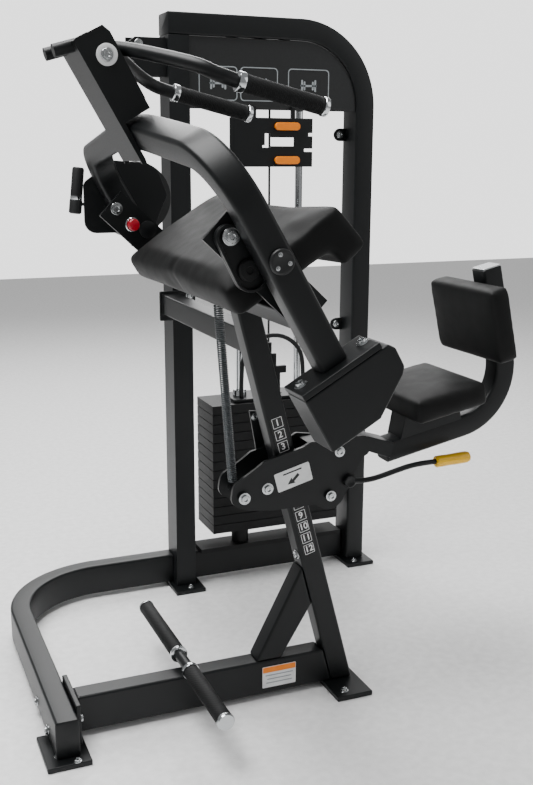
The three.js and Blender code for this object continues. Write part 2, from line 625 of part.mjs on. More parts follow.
// ---- cam and cable ----
const camY = [584, 608];
const camMiddle = (camY[0] + camY[1]) / 2;
const disc = rod(vec(CAM.x, camY[0], CAM.z), vec(CAM.x, camY[1], CAM.z), CAM.r, 40);
const camHub = rod(vec(PIVOT.x, camY[0] - 10, PIVOT.z), vec(PIVOT.x, camY[1] + 10, PIVOT.z), 30, 24);
const camBore = rod(
  vec(PIVOT.x, camY[0] - 20, PIVOT.z), vec(PIVOT.x, camY[1] + 20, PIVOT.z), SHAFT_R + GAP);
const camGroove = sleeve(
  vec(CAM.x, camMiddle - 10, CAM.z), vec(CAM.x, camMiddle + 10, CAM.z), CAM.r - 9, CAM.r + 5, 40);
const discOnly = cut(disc, camGroove);
add('cam', cut(joined(discOnly, camHub), camBore), 'weight');

const pulleyLeft = vec(312, ROD_Y - 8, cableTop - PULLEY_R);
function pulley(centre, r) {
  const half = 9;
  const side = (y) => centre.clone().add(vec(0, y, 0));
  const wheel = sleeve(side(-half), side(half), 6.5, r + 3, 28);
  const groove = sleeve(side(-6), side(6), r - CABLE_R - 2, r + 8, 28);
  return cut(wheel, groove);
}
add('pulley_left', pulley(pulleyLeft, PULLEY_R), 'weight');
add('pulley_middle', pulley(pulleyMiddle, SMALL_PULLEY_R), 'weight');

// two cheeks and a pin hold the left pulley on the upright, a hanger holds the middle one
const cheekPlate = slab([
  [pulleyLeft.x - 40, 1366], [TOWER_LEFT - GAP, 1366], [TOWER_LEFT - GAP, 1458], [pulleyLeft.x - 24, 1458],
  [pulleyLeft.x - 40, 1446],
], vec(0, 0, 0), X, Z, 12 - pulleyLeft.y, 17 - pulleyLeft.y);
const backCheek = slab([
  [pulleyLeft.x - 40, 1366], [TOWER_LEFT - GAP, 1366], [TOWER_LEFT - GAP, 1458], [pulleyLeft.x - 40, 1458],
], vec(0, 0, 0), X, Z, -17 - pulleyLeft.y, -12 - pulleyLeft.y);
const tie = box(TOWER_LEFT - 6, TOWER_LEFT - GAP, pulleyLeft.y - 14, pulleyLeft.y + 14, 1366, 1386);
const pinLeft = rod(pulleyLeft.clone().add(vec(0, -16, 0)), pulleyLeft.clone().add(vec(0, 16, 0)), 6, 16);
add('pulley_bracket', joined(cheekPlate, backCheek, tie, pinLeft), 'frame');
// from the cam up to the left pulley, through the upright, over the middle pulley and down to the stem
function turn(centre, r, from, to, count) {
  return Array.from({ length: count + 1 }, (_, i) => {
    const angle = THREE.MathUtils.degToRad(from + ((to - from) * i) / count);
    return vec(centre.x + r * Math.cos(angle), centre.y, centre.z + r * Math.sin(angle));
  });
}
const camCentre = vec(CAM.x, camMiddle, CAM.z);
add('lift_cable', tube([
  ...turn(camCentre, CAM.r - 4, 215, 168, 5),
  ...turn(pulleyLeft, PULLEY_R, 168, 90, 7),
  ...turn(pulleyMiddle, SMALL_PULLEY_R, 90, 0, 7),
  vec(STACK_X, ROD_Y, stackTop + 152),
], CABLE_R, 8), 'cable');

// ---- seat carriage on the post ----
const carriage = rounded([
  [360, 556], [449, 578], [466, 588], [527, 579], [555, 590], [602, 588], [607, 548], [590, 541],
  [541, 446], [513, 424], [478, 447], [383, 446], [322, 453], [284, 470], [291, 512],
  [342, 543], [360, 556],
], [30, 10, 20, 20, 12, 12, 8, 16, 30, 14, 60, 24, 22, 22, 30], 4).slice(0, -1);
const nearCheek = [-18, -10];
const farCheek = [2 * USER_Y - nearCheek[1], 2 * USER_Y - nearCheek[0]];
const axles = { left: [313, 483], right: [512, 464] };
const axleHoles = Object.values(axles).map(([x, z]) => [x, z, 7 + GAP]);
add('carriage_plate_near', slabXZ(carriage, ...nearCheek, axleHoles), 'frame');
add('carriage_plate_far', slabXZ(carriage, ...farCheek, axleHoles), 'frame');
for (const [name, [x, z]] of Object.entries(axles)) {
  const axle = rod(vec(x, nearCheek[0] - 6, z), vec(x, farCheek[1] + 6, z), 7, 16);
  add(`carriage_axle_${name}`, axle, 'chrome');
}

// the seat frame slides between the cheeks on a stub and turns up behind the back pad
const seatLine = rounded([[659, 538], [990, 606], [912, 935]], [130], 10);
const stub = [[470, 545], [600, 552], [664, 528], [672, 562], [607, 583], [470, 580]];
const riser = [[690, 566], [845, 598], [836, 647], [700, 621]];
add('seat_frame', joined(
  slabXZ(band(seatLine, 50), 0, RAIL),
  slabXZ(stub, nearCheek[1] + GAP, farCheek[0] - GAP),
  slabXZ(riser, -6, 56),
), 'frame');
const seatAlong = [0.983, 0.184];
add('seat_pad', slabXZ(tilted([760, 662.5], seatAlong, 89, 26), SEAT_NEAR, SEAT_FAR), 'leather');
const backAlong = [0.225, -0.974];
add('back_pad', slabXZ(tilted([881.5, 821.5], backAlong, 83, 24), SEAT_NEAR, SEAT_FAR), 'leather');

// ---- release lever and lock pin ----
const leverPivot = [556, 492];
add('release_lever', joined(
  sleeve(
    vec(leverPivot[0], -30, leverPivot[1]), vec(leverPivot[0], nearCheek[0] - GAP, leverPivot[1]),
    7, 13, 20),
  bar([
    vec(leverPivot[0] + 10, -25, leverPivot[1]), vec(610, -32, 494), vec(697, -40, 515), vec(765, -40, 518),
    vec(792, -40, 518),
  ], 6, 12, 16),
  rod(vec(762, -40, 517), vec(848, -40, 520), 13, 16),
), 'yellow');
const across = new THREE.Vector3(1, 0, POST_TAN).normalize();
const lockFrom = vec(postEdge(500, 1) + 1, USER_Y, 500);
add('lock_pin', rod(lockFrom, lockFrom.clone().addScaledVector(across, 42), 9, 16), 'chrome');

// ---- assist spring beside the post ----
add('assist_spring', rod(vec(274, USER_Y, 894), vec(306, USER_Y, 494), 9, 12), 'chrome');

machine.position.set(-MID_X, -MID_Y, 0);
export default machine;
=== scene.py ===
"""Arm-curl and arm-extension machine: surfaces, pads, fasteners and stage around its frame."""

import json
import math

import bmesh
import bpy
from bpy.props import FloatProperty, IntProperty, PointerProperty, StringProperty
from mathutils import Matrix, Vector


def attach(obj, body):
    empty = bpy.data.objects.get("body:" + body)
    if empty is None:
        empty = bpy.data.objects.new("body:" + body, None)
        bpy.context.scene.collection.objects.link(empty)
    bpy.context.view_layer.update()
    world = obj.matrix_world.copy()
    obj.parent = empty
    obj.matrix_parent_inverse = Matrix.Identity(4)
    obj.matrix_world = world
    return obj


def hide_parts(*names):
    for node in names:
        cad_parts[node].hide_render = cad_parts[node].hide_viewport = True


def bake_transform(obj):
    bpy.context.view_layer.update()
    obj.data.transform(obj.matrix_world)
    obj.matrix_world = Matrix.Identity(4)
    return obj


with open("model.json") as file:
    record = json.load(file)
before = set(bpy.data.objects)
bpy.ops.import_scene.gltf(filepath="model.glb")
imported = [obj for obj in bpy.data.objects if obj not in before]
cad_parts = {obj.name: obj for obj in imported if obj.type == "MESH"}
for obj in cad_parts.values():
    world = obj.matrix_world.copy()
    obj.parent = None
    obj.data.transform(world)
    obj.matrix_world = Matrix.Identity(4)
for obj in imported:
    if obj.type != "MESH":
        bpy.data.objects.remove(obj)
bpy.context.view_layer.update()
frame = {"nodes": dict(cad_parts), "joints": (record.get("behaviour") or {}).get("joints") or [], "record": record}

bl_info = {
    "name": "Arm Curl Machine Dressing",
    "version": (1, 0, 0),
    "blender": (4, 5, 0),
    "location": "3D View > Sidebar > Machine",
    "description": "Builds the finished surfaces of an arm-curl machine around its frame",
    "category": "Object",
}

MM = 0.001
JOINTS = {joint["name"]: joint for joint in frame["joints"]}
LEVER_HUB = Vector((556, -24, 492)) * MM  # the seat lever's pivot in the workshop's own coordinates
SHIFT = Vector(JOINTS["seat_lever_pivot"]["pos_m"]) - LEVER_HUB
ARM_LEAN = math.radians(29.7)
PIVOT_X, PIVOT_Z = 236, 1010
POST_TAN = 0.2655
POST_FOOT_X = 563.3
STACK_X, ROD_Y = 655, 672
USER_Y = 25


def at(x, y, z):
    """Workshop millimetres, from the inner near corner of the base, to the frame's metres."""
    return Vector((x, y, z)) * MM + SHIFT


def on_arm(y, s, n=0.0):
    """A point on the exercise arm: s along it from the pivot and n towards the user, in millimetres."""
    x = PIVOT_X - math.sin(ARM_LEAN) * s + math.cos(ARM_LEAN) * n
    z = PIVOT_Z + math.cos(ARM_LEAN) * s + math.sin(ARM_LEAN) * n
    return at(x, y, z)


ARM_UP = Vector((-math.sin(ARM_LEAN), 0, math.cos(ARM_LEAN)))
ARM_SIDE = Vector((math.cos(ARM_LEAN), 0, math.sin(ARM_LEAN)))
POST_UP = Vector((-POST_TAN, 0, 1)).normalized()
POST_ACROSS = Vector((1, 0, POST_TAN)).normalized()
NEAR = Vector((0, -1, 0))
ACROSS = Vector((1, 0, 0))
UP = Vector((0, 0, 1))
ORIGIN = at(0, 0, 0)


# ---- settings ----
class SteelSettings(bpy.types.PropertyGroup):
    paint: StringProperty(name="Paint", description="Colour of the powder coat", default="#0f1112")
    tube_corner: FloatProperty(
        name="Tube corner", description="Outer corner radius of the tubes", default=0.006, unit="LENGTH")
    plate_edge: FloatProperty(
        name="Plate edge", description="Rounding of cut plate edges", default=0.0015, unit="LENGTH")
    weight_colour: StringProperty(name="Weights", description="Colour of the plates", default="#0a0b0c")


class PadSettings(bpy.types.PropertyGroup):
    vinyl: StringProperty(name="Vinyl", description="Colour of the upholstery", default="#080909")
    voxel: FloatProperty(
        name="Voxel", description="Remesh size before stuffing", default=0.006, unit="LENGTH")
    pressure: FloatProperty(name="Pressure", description="Inner pressure of the stuffing", default=3.0)
    bulge: FloatProperty(
        name="Bulge", description="Furthest a point may swell", default=0.012, unit="LENGTH")


class SmallPartSettings(bpy.types.PropertyGroup):
    orange: StringProperty(name="Orange tabs", description="Colour of the add-on tabs", default="#ff8800")
    yellow: StringProperty(
        name="Yellow grip", description="Colour of the seat lever's grip", default="#ffc400")
    red: StringProperty(name="Red knob", description="Colour of the range knob", default="#b50a26")
    spring_turns: IntProperty(name="Spring turns", description="Turns of the assist spring", default=84)


class StageSettings(bpy.types.PropertyGroup):
    floor: StringProperty(name="Floor", description="Colour of the floor", default="#f4f4f4")
    lens: FloatProperty(name="Lens", description="Focal length", default=46.9, min=10.0)


# ---- colour and materials ----
def linear(hex_colour):
    """An sRGB hex value as a linear RGBA colour."""
    channels = [int(hex_colour[i : i + 2], 16) / 255 for i in (1, 3, 5)]
    return [c / 12.92 if c <= 0.04045 else ((c + 0.055) / 1.055) ** 2.4 for c in channels] + [1.0]


def add_node(tree, kind, inputs=None, **settings):
    """One node with its settings; an input is a value or another node's socket."""
    made = tree.nodes.new(kind)
    for key, value in settings.items():
        setattr(made, key, value)
    for key, value in (inputs or {}).items():
        if isinstance(value, bpy.types.NodeSocket):
            tree.links.new(value, made.inputs[key])
        else:
            made.inputs[key].default_value = value
    return made


def new_finish(name, **surface):
    """An empty principled material, its tree, its shader and the coordinates on the object."""
    material = bpy.data.materials.new(name)
    material.use_nodes = True
    tree = material.node_tree
    shader = tree.nodes["Principled BSDF"]
    for key, value in surface.items():
        shader.inputs[key.replace("_", " ")].default_value = value
    place = add_node(tree, "ShaderNodeTexCoord").outputs["Object"]
    return material, tree, shader, place


def mottled(tree, place, low, high, size, detail=3.0):
    """Two shades that drift into each other over patches of the given size in metres."""
    noise = add_node(tree, "ShaderNodeTexNoise", {"Vector": place, "Scale": 1 / size, "Detail": detail})
    ramp = add_node(tree, "ShaderNodeValToRGB", {"Fac": noise.outputs["Fac"]})
    ramp.color_ramp.elements[0].position = 0.35
    ramp.color_ramp.elements[0].color = low
    ramp.color_ramp.elements[1].position = 0.68
    ramp.color_ramp.elements[1].color = high
    return ramp.outputs["Color"]


def spread(tree, value, low, high):
    """A 0 to 1 value mapped between two limits."""
    mapped = add_node(tree, "ShaderNodeMapRange", {"Value": value, "To Min": low, "To Max": high})
    return mapped.outputs["Result"]


def relief(tree, shader, height, distance, strength=1.0):
    """Bump of a real height in metres."""
    bump = add_node(tree, "ShaderNodeBump", {"Height": height, "Distance": distance, "Strength": strength})
    tree.links.new(bump.outputs["Normal"], shader.inputs["Normal"])
    return bump


def tint(hex_colour, factor):
    """A hex colour made lighter or darker, as a linear colour."""
    return [min(1.0, c * factor) for c in linear(hex_colour)[:3]] + [1.0]


def powder_coat(colour):
    """Baked polyester powder on steel: satin, with a faint orange peel that softens each highlight, and a painted
    highlight that lightens its outer corners.
    """
    material, tree, shader, place = new_finish(
        "satin_powder_coat", IOR=1.5, Specular_IOR_Level=0.3)
    shade = mottled(tree, place, tint(colour, 0.92), tint(colour, 1.1), 0.09)
    # painted highlight: the base colour is lightened on the outer corners, where the edges catch the light
    edge = add_node(tree, "ShaderNodeNewGeometry").outputs["Pointiness"]
    painted_edge_highlight = add_node(tree, "ShaderNodeMapRange", {
        "Value": edge, "From Min": 0.53, "From Max": 0.62, "To Min": 0.0, "To Max": 0.35})
    mix = add_node(tree, "ShaderNodeMix", {
        "Factor": painted_edge_highlight.outputs["Result"], "A": shade, "B": tint(colour, 2.2)}, data_type="RGBA")
    tree.links.new(mix.outputs["Result"], shader.inputs["Base Color"])
    # real peel is about 1 mm across, drawn at 2.5 mm so that it shows
    peel = add_node(tree, "ShaderNodeTexNoise", {"Vector": place, "Scale": 1 / 0.0025, "Detail": 2.0})
    tree.links.new(spread(tree, peel.outputs["Fac"], 0.34, 0.46), shader.inputs["Roughness"])
    relief(tree, shader, peel.outputs["Fac"], 0.0001, 0.35)
    return material


def grained_vinyl(colour):
    """Embossed upholstery vinyl: matt, with a pebble grain and soft dull highlights."""
    material, tree, shader, place = new_finish("grained_vinyl", IOR=1.46, Specular_IOR_Level=0.22)
    shade = mottled(tree, place, tint(colour, 0.85), tint(colour, 1.15), 0.12)
    tree.links.new(shade, shader.inputs["Base Color"])
    # pebbles are about 1.2 mm, drawn at 2 mm so that they show
    pebble = add_node(
        tree, "ShaderNodeTexVoronoi", {"Vector": place, "Scale": 1 / 0.002}, feature="SMOOTH_F1")
    crease = add_node(tree, "ShaderNodeTexNoise", {"Vector": place, "Scale": 1 / 0.03, "Detail": 4.0})
    height = add_node(tree, "ShaderNodeMix", {
        "Factor": 0.35, "A": pebble.outputs["Distance"], "B": crease.outputs["Fac"]}, data_type="FLOAT")
    tree.links.new(spread(tree, crease.outputs["Fac"], 0.5, 0.66), shader.inputs["Roughness"])
    relief(tree, shader, height.outputs["Result"], 0.0003, 0.5)
    return material


def cast_rubber(name, colour, rib=0.0):
    """Moulded rubber: dull and dusty, with fine ribs on the grips."""
    material, tree, shader, place = new_finish(name, IOR=1.52, Specular_IOR_Level=0.3)
    shade = mottled(tree, place, tint(colour, 0.8), tint(colour, 1.3), 0.02)
    tree.links.new(shade, shader.inputs["Base Color"])
    grain = add_node(tree, "ShaderNodeTexNoise", {"Vector": place, "Scale": 1 / 0.0015, "Detail": 3.0})
    tree.links.new(spread(tree, grain.outputs["Fac"], 0.55, 0.8), shader.inputs["Roughness"])
    if rib:
        ribs = add_node(tree, "ShaderNodeTexWave", {
            "Vector": place, "Scale": 0.314 / rib}, bands_direction="DIAGONAL", wave_type="BANDS")
        relief(tree, shader, ribs.outputs["Fac"], 0.0004, 0.5)
    else:
        relief(tree, shader, grain.outputs["Fac"], 0.0002, 0.5)
    return material


def plated(name, colour, roughness):
    """Bright plated steel: mirror-like, with hair-fine polishing streaks that break its reflections."""
    material, tree, shader, place = new_finish(name, Metallic=1.0)
    shade = mottled(tree, place, tint(colour, 0.93), linear(colour), 0.03)
    tree.links.new(shade, shader.inputs["Base Color"])
    stretched = add_node(tree, "ShaderNodeMapping", {"Vector": place, "Scale": (900.0, 900.0, 60.0)})
    streak = add_node(tree, "ShaderNodeTexNoise", {"Vector": stretched.outputs["Vector"], "Scale": 1.0})
    rough = spread(tree, streak.outputs["Fac"], roughness * 0.7, roughness * 1.4)
    tree.links.new(rough, shader.inputs["Roughness"])
    return material


def hammered_paint(colour):
    """Enamel over rough sawn steel plates: darker and drier than the frame, with a coarse grain."""
    material, tree, shader, place = new_finish("plate_enamel", IOR=1.5, Specular_IOR_Level=0.25)
    shade = mottled(tree, place, tint(colour, 0.75), tint(colour, 1.35), 0.05)
    tree.links.new(shade, shader.inputs["Base Color"])
    grit = add_node(tree, "ShaderNodeTexNoise", {"Vector": place, "Scale": 1 / 0.004, "Detail": 5.0})
    tree.links.new(spread(tree, grit.outputs["Fac"], 0.4, 0.62), shader.inputs["Roughness"])
    relief(tree, shader, grit.outputs["Fac"], 0.0003, 0.5)
    return material


def moulded_plastic(name, colour, roughness=0.3):
    """Injection-moulded plastic: even colour, with a very slight ripple and handling marks."""
    material, tree, shader, place = new_finish(name, IOR=1.49, Coat_Weight=0.1)
    shade = mottled(tree, place, tint(colour, 0.93), tint(colour, 1.04), 0.02)
    tree.links.new(shade, shader.inputs["Base Color"])
    ripple = add_node(tree, "ShaderNodeTexNoise", {"Vector": place, "Scale": 1 / 0.006, "Detail": 2.0})
    rough = spread(tree, ripple.outputs["Fac"], roughness * 0.8, roughness * 1.3)
    tree.links.new(rough, shader.inputs["Roughness"])
    relief(tree, shader, ripple.outputs["Fac"], 0.0001, 0.3)
    return material


class Finishes:
    """The finishes by short name, each made when it is first asked for."""

    made = {}

    @classmethod
    def get(cls, key):
        if key not in cls.made:
            cls.made[key] = cls.make(key)
        return cls.made[key]

    @staticmethod
    def make(key):
        scene = bpy.context.scene
        steel, pads = scene.machine_steel, scene.machine_pads
        small, stage = scene.machine_small, scene.machine_stage
        makers = {
            "paint": lambda: powder_coat(steel.paint),
            "weights": lambda: hammered_paint(steel.weight_colour),
            "vinyl": lambda: grained_vinyl(pads.vinyl),
            "grip": lambda: cast_rubber("ribbed_grip_rubber", "#0b0c0d", 0.004),
            "rubber": lambda: cast_rubber("bumper_rubber", "#0f1011"),
            "chrome": lambda: plated("polished_chrome", "#d5d8da", 0.12),
            "zinc": lambda: plated("zinc_plate", "#c9cccd", 0.2),
            "spring": lambda: plated("oiled_spring_steel", "#5b5f61", 0.35),
            "nylon": lambda: moulded_plastic("black_nylon", "#0f1112", 0.45),
            "panel": lambda: moulded_plastic("printed_panel", "#111314", 0.5),
            "orange": lambda: moulded_plastic("orange_plastic", small.orange),
            "yellow": lambda: moulded_plastic("yellow_grip_plastic", small.yellow),
            "red": lambda: moulded_plastic("red_knob_plastic", small.red, 0.22),
            "white": lambda: moulded_plastic("label_film", "#e9eaea", 0.4),
            "black_ink": lambda: moulded_plastic("black_print", "#101112", 0.45),
            "grey_ink": lambda: moulded_plastic("grey_print", "#9aa0a3", 0.5),
            "floor": lambda: moulded_plastic("pale_floor", stage.floor, 0.7),
        }
        return makers[key]()


# ---- mesh helpers ----
def in_scene(name, data):
    """A new object in the scene that shows the given data."""
    made = bpy.data.objects.new(name, data)
    bpy.context.scene.collection.objects.link(made)
    return made


def object_of(name, builder):
    """A new object from a bmesh, with its place in its mesh."""
    mesh = bpy.data.meshes.new(name)
    builder.to_mesh(mesh)
    builder.free()
    return in_scene(name, mesh)


def finished(piece, body, finish, replaces=()):
    """Paints a piece and hangs it on its body, in place of the given nodes."""
    piece.data.materials.clear()
    piece.data.materials.append(Finishes.get(finish))
    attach(piece, body)
    if replaces:
        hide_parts(*replaces)
    return piece


def applied(piece):
    """The piece with its modifiers turned into mesh."""
    depsgraph = bpy.context.evaluated_depsgraph_get()
    mesh = bpy.data.meshes.new_from_object(piece.evaluated_get(depsgraph))
    piece.modifiers.clear()
    old = piece.data
    piece.data = mesh
    bpy.data.meshes.remove(old)
    return piece


def smooth_by_angle(mesh, limit):
    """Smooth faces, with sharp edges where the surface turns by more than the limit."""
    builder = bmesh.new()
    builder.from_mesh(mesh)
    for face in builder.faces:
        face.smooth = True
    for edge in builder.edges:
        edge.smooth = len(edge.link_faces) == 2 and edge.calc_face_angle(math.pi) < limit
    builder.to_mesh(mesh)
    builder.free()


def all_smooth(piece):
    """Smooth shading on every face."""
    for polygon in piece.data.polygons:
        polygon.use_smooth = True


def softened(piece, width, segments=3):
    """Rounds the hard edges of a piece and evens its normals."""
    bevel = piece.modifiers.new("edges", "BEVEL")
    bevel.width = width
    bevel.segments = segments
    bevel.limit_method = "ANGLE"
    bevel.angle_limit = math.radians(32)
    bevel.harden_normals = False
    all_smooth(piece)
    weighted = piece.modifiers.new("normals", "WEIGHTED_NORMAL")
    weighted.keep_sharp = True
    return applied(piece)


def body_holding(node):
    """The name of the body a node belongs to."""
    groups = frame["record"]["behaviour"]["bodies"]
    return next(body for body, members in groups.items() if node in members)


def shape_of(node):
    """A part's own shape as one welded mesh."""
    builder = bmesh.new()
    builder.from_mesh(frame["nodes"][node].data)
    bmesh.ops.remove_doubles(builder, verts=builder.verts, dist=0.00002)
    return builder


def dressed(node, finish, width, segments=3, smooth=32):
    """The finished surface of a part: its own shape with rounded edges."""
    builder = shape_of(node)
    bmesh.ops.dissolve_limit(
        builder, angle_limit=math.radians(0.6), verts=builder.verts, edges=builder.edges)
    piece = object_of(node + "_finished", builder)
    if width:
        softened(piece, width, segments)
    else:
        smooth_by_angle(piece.data, math.radians(smooth))
    return finished(piece, body_holding(node), finish, [node])


def arc(centre, radius, start, end, steps):
    """Points of an arc in degrees, both ends included."""
    angles = [math.radians(start + (end - start) * i / steps) for i in range(steps + 1)]
    return [(centre[0] + radius * math.cos(a), centre[1] + radius * math.sin(a)) for a in angles]


def filleted(corners, radii, steps=14):
    """A flat line of points with its inner corners rounded."""
    points = [Vector(corners[0])]
    for i, radius in enumerate(radii):
        here = Vector(corners[i + 1])
        back = (Vector(corners[i]) - here).normalized()
        on = (Vector(corners[i + 2]) - here).normalized()
        half = math.acos(max(-1.0, min(1.0, back.dot(on)))) / 2
        centre = here + (back + on).normalized() * (radius / math.sin(half))
        start = here + back * (radius / math.tan(half)) - centre
        end = here + on * (radius / math.tan(half)) - centre
        turn = math.atan2(start.x * end.y - start.y * end.x, start.dot(end))
        for k in range(steps + 1):
            angle = turn * k / steps
            spin = Matrix(((math.cos(angle), -math.sin(angle)), (math.sin(angle), math.cos(angle))))
            points.append(centre + spin @ start)
    points.append(Vector(corners[-1]))
    return points


def joined_rings(builder, rings):
    """Faces between each ring of points and the next."""
    for one, two in zip(rings, rings[1:]):
        for k in range(len(one)):
            m = (k + 1) % len(one)
            builder.faces.new((one[k], one[m], two[m], two[k]))


def rounded_section(width, depth, radius, steps=4):
    """A rounded rectangle round the origin, anticlockwise."""
    points = []
    for sx, sy, start in ((1, 1, 0), (-1, 1, 90), (-1, -1, 180), (1, -1, 270)):
        centre = (sx * (width / 2 - radius), sy * (depth / 2 - radius))
        points += arc(centre, radius, start, start + 90, steps)
    return points


def swept_tube(name, line, width, depth, place, radius=6.0, chamfer=1.5):
    """A rectangular tube along a flat line; place(a, b, w) turns the line's plane and depth into space."""
    section = rounded_section(width, depth, radius)
    stations = []
    for i, point in enumerate(line):
        before = (point - line[i - 1]).normalized() if i else None
        after = (line[i + 1] - point).normalized() if i < len(line) - 1 else None
        along = ((before or after) + (after or before)).normalized()
        stretch = 1 / max(0.5, along.dot(after or before))
        stations.append((point, along, stretch, 1.0))
    first, last = stations[0], stations[-1]
    inset = 1 - 2 * chamfer / min(width, depth)
    stations[0] = (first[0] + first[1] * chamfer, first[1], 1.0, 1.0)
    stations[-1] = (last[0] - last[1] * chamfer, last[1], 1.0, 1.0)
    stations = [(first[0], first[1], 1.0, inset), *stations, (last[0], last[1], 1.0, inset)]
    builder = bmesh.new()
    rings = []
    for point, along, stretch, size in stations:
        side = Vector((-along.y, along.x))
        ring = []
        for p, q in section:
            flat = point + side * (p * stretch * size)
            ring.append(builder.verts.new(place(flat.x, flat.y, q * size)))
        rings.append(ring)
    joined_rings(builder, rings)
    builder.faces.new(rings[0])
    builder.faces.new(list(reversed(rings[-1])))
    bmesh.ops.remove_doubles(builder, verts=builder.verts, dist=0.00001)
    bmesh.ops.recalc_face_normals(builder, faces=builder.faces)
    made = object_of(name, builder)
    smooth_by_angle(made.data, math.radians(34))
    return made


def round_tube(name, points, radius, sides=20):
    """A round bar through points in metres, with its frame carried along without twist."""
    builder = bmesh.new()
    rings = []
    up = None
    for i, point in enumerate(points):
        before = points[max(i - 1, 0)]
        after = points[min(i + 1, len(points) - 1)]
        along = (after - before).normalized()
        if up is None:
            up = along.orthogonal().normalized()
        up = (up - along * up.dot(along)).normalized()
        side = along.cross(up)
        ring = []
        for k in range(sides):
            angle = 2 * math.pi * k / sides
            ring.append(builder.verts.new(point + (up * math.cos(angle) + side * math.sin(angle)) * radius))
        rings.append(ring)
    joined_rings(builder, rings)
    builder.faces.new(rings[0])
    builder.faces.new(rings[-1])
    bmesh.ops.recalc_face_normals(builder, faces=builder.faces)
    made = object_of(name, builder)
    smooth_by_angle(made.data, math.radians(40))
    return made


def turned(name, profile, start, direction, sides=32):
    """A turned part: profile of (radius, height) in millimetres along a direction from a start point."""
    along = direction.normalized()
    up = along.orthogonal().normalized()
    side = along.cross(up)
    builder = bmesh.new()
    rings = []
    for radius, height in profile:
        centre = start + along * (height * MM)
        if radius < 0.01:
            rings.append([builder.verts.new(centre)])
            continue
        rings.append([
            builder.verts.new(
                centre + (up * math.cos(2 * math.pi * k / sides) + side * math.sin(2 * math.pi * k / sides))
                * (radius * MM))
            for k in range(sides)])
    for one, two in zip(rings, rings[1:]):
        for k in range(sides):
            m = (k + 1) % sides
            corners = (one[k % len(one)], one[m % len(one)], two[m % len(two)], two[k % len(two)])
            unique = list(dict.fromkeys(corners))
            if len(unique) > 2:
                builder.faces.new(unique)
    for ring in (rings[0], rings[-1]):
        if len(ring) > 2:
            builder.faces.new(ring)
    bmesh.ops.recalc_face_normals(builder, faces=builder.faces)
    made = object_of(name, builder)
    smooth_by_angle(made.data, math.radians(35))
    return made


def flat_plate(name, outline, origin, u, v, low, high, edge=0.0):
    """A plate with an outline in millimetres in the plane of u and v, thick along their cross product."""
    w = u.cross(v)
    builder = bmesh.new()
    rings = []
    for level in (low, high):
        rings.append([builder.verts.new(origin + (u * a + v * b + w * level) * MM) for a, b in outline])
    joined_rings(builder, rings)
    builder.faces.new(rings[0])
    builder.faces.new(rings[1])
    bmesh.ops.recalc_face_normals(builder, faces=builder.faces)
    made = object_of(name, builder)
    if edge:
        softened(made, edge, 2)
    else:
        smooth_by_angle(made.data, math.radians(30))
    return made


def merged(name, pieces):
    """One object from several, which are removed."""
    builder = bmesh.new()
    for piece in pieces:
        builder.from_mesh(piece.data)
        mesh = piece.data
        bpy.data.objects.remove(piece)
        bpy.data.meshes.remove(mesh)
    return object_of(name, builder)


# ---- repeated fasteners, placed by geometry nodes ----
def fastener_head():
    """A flanged hexagon head on a washer, one unit in radius and standing on its base."""
    builder = bmesh.new()
    sides = 24
    flange = [(1.0, 0.0), (1.0, 0.1), (0.96, 0.14), (0.8, 0.15)]
    hexagon = [(0.72, 0.17), (0.72, 0.5)]
    crown = [(0.62, 0.6), (0.36, 0.62), (0.32, 0.58), (0.3, 0.36)]
    loops = []
    for radius, height in flange + hexagon + crown:
        loop = []
        for k in range(sides):
            angle = 2 * math.pi * k / sides
            # the wrench faces cut the round flange down to a hexagon
            flat = math.cos(math.pi / 6) / math.cos((angle + math.pi / 6) % (math.pi / 3) - math.pi / 6)
            reach = radius * (flat if (radius, height) in hexagon else 1.0)
            loop.append(builder.verts.new((reach * math.cos(angle), reach * math.sin(angle), height)))
        loops.append(loop)
    joined_rings(builder, loops)
    builder.faces.new(loops[0])
    builder.faces.new(loops[-1])
    bmesh.ops.recalc_face_normals(builder, faces=builder.faces)
    head = object_of("fastener_pattern", builder)
    smooth_by_angle(head.data, math.radians(38))
    return head


def fastener_tree():
    """Puts one head on every point, turned to the point's facing and scaled to its size."""
    tree = bpy.data.node_groups.new("fasteners_on_points", "GeometryNodeTree")
    face = tree.interface
    face.new_socket("Geometry", in_out="INPUT", socket_type="NodeSocketGeometry")
    face.new_socket("Head", in_out="INPUT", socket_type="NodeSocketObject")
    face.new_socket("Finish", in_out="INPUT", socket_type="NodeSocketMaterial")
    face.new_socket("Geometry", in_out="OUTPUT", socket_type="NodeSocketGeometry")
    given = add_node(tree, "NodeGroupInput")
    facing = add_node(tree, "GeometryNodeInputNamedAttribute", {"Name": "facing"}, data_type="FLOAT_VECTOR")
    size = add_node(tree, "GeometryNodeInputNamedAttribute", {"Name": "size"}, data_type="FLOAT")
    turn = add_node(
        tree, "FunctionNodeAlignRotationToVector", {"Vector": facing.outputs["Attribute"]}, axis="Z")
    head = add_node(tree, "GeometryNodeObjectInfo", {"Object": given.outputs["Head"]})
    placed = add_node(tree, "GeometryNodeInstanceOnPoints", {
        "Points": given.outputs["Geometry"], "Instance": head.outputs["Geometry"],
        "Rotation": turn.outputs["Rotation"], "Scale": size.outputs["Attribute"]})
    real = add_node(tree, "GeometryNodeRealizeInstances", {"Geometry": placed.outputs["Instances"]})
    painted = add_node(tree, "GeometryNodeSetMaterial", {
        "Geometry": real.outputs["Geometry"], "Material": given.outputs["Finish"]})
    add_node(tree, "NodeGroupOutput", {"Geometry": painted.outputs["Geometry"]})
    return tree


def set_input(modifier, name, value):
    """Sets a geometry nodes input by its socket's identifier."""
    for item in modifier.node_group.interface.items_tree:
        if item.item_type == "SOCKET" and item.in_out == "INPUT" and item.name == name:
            modifier[item.identifier] = value
            return
    raise KeyError(name)


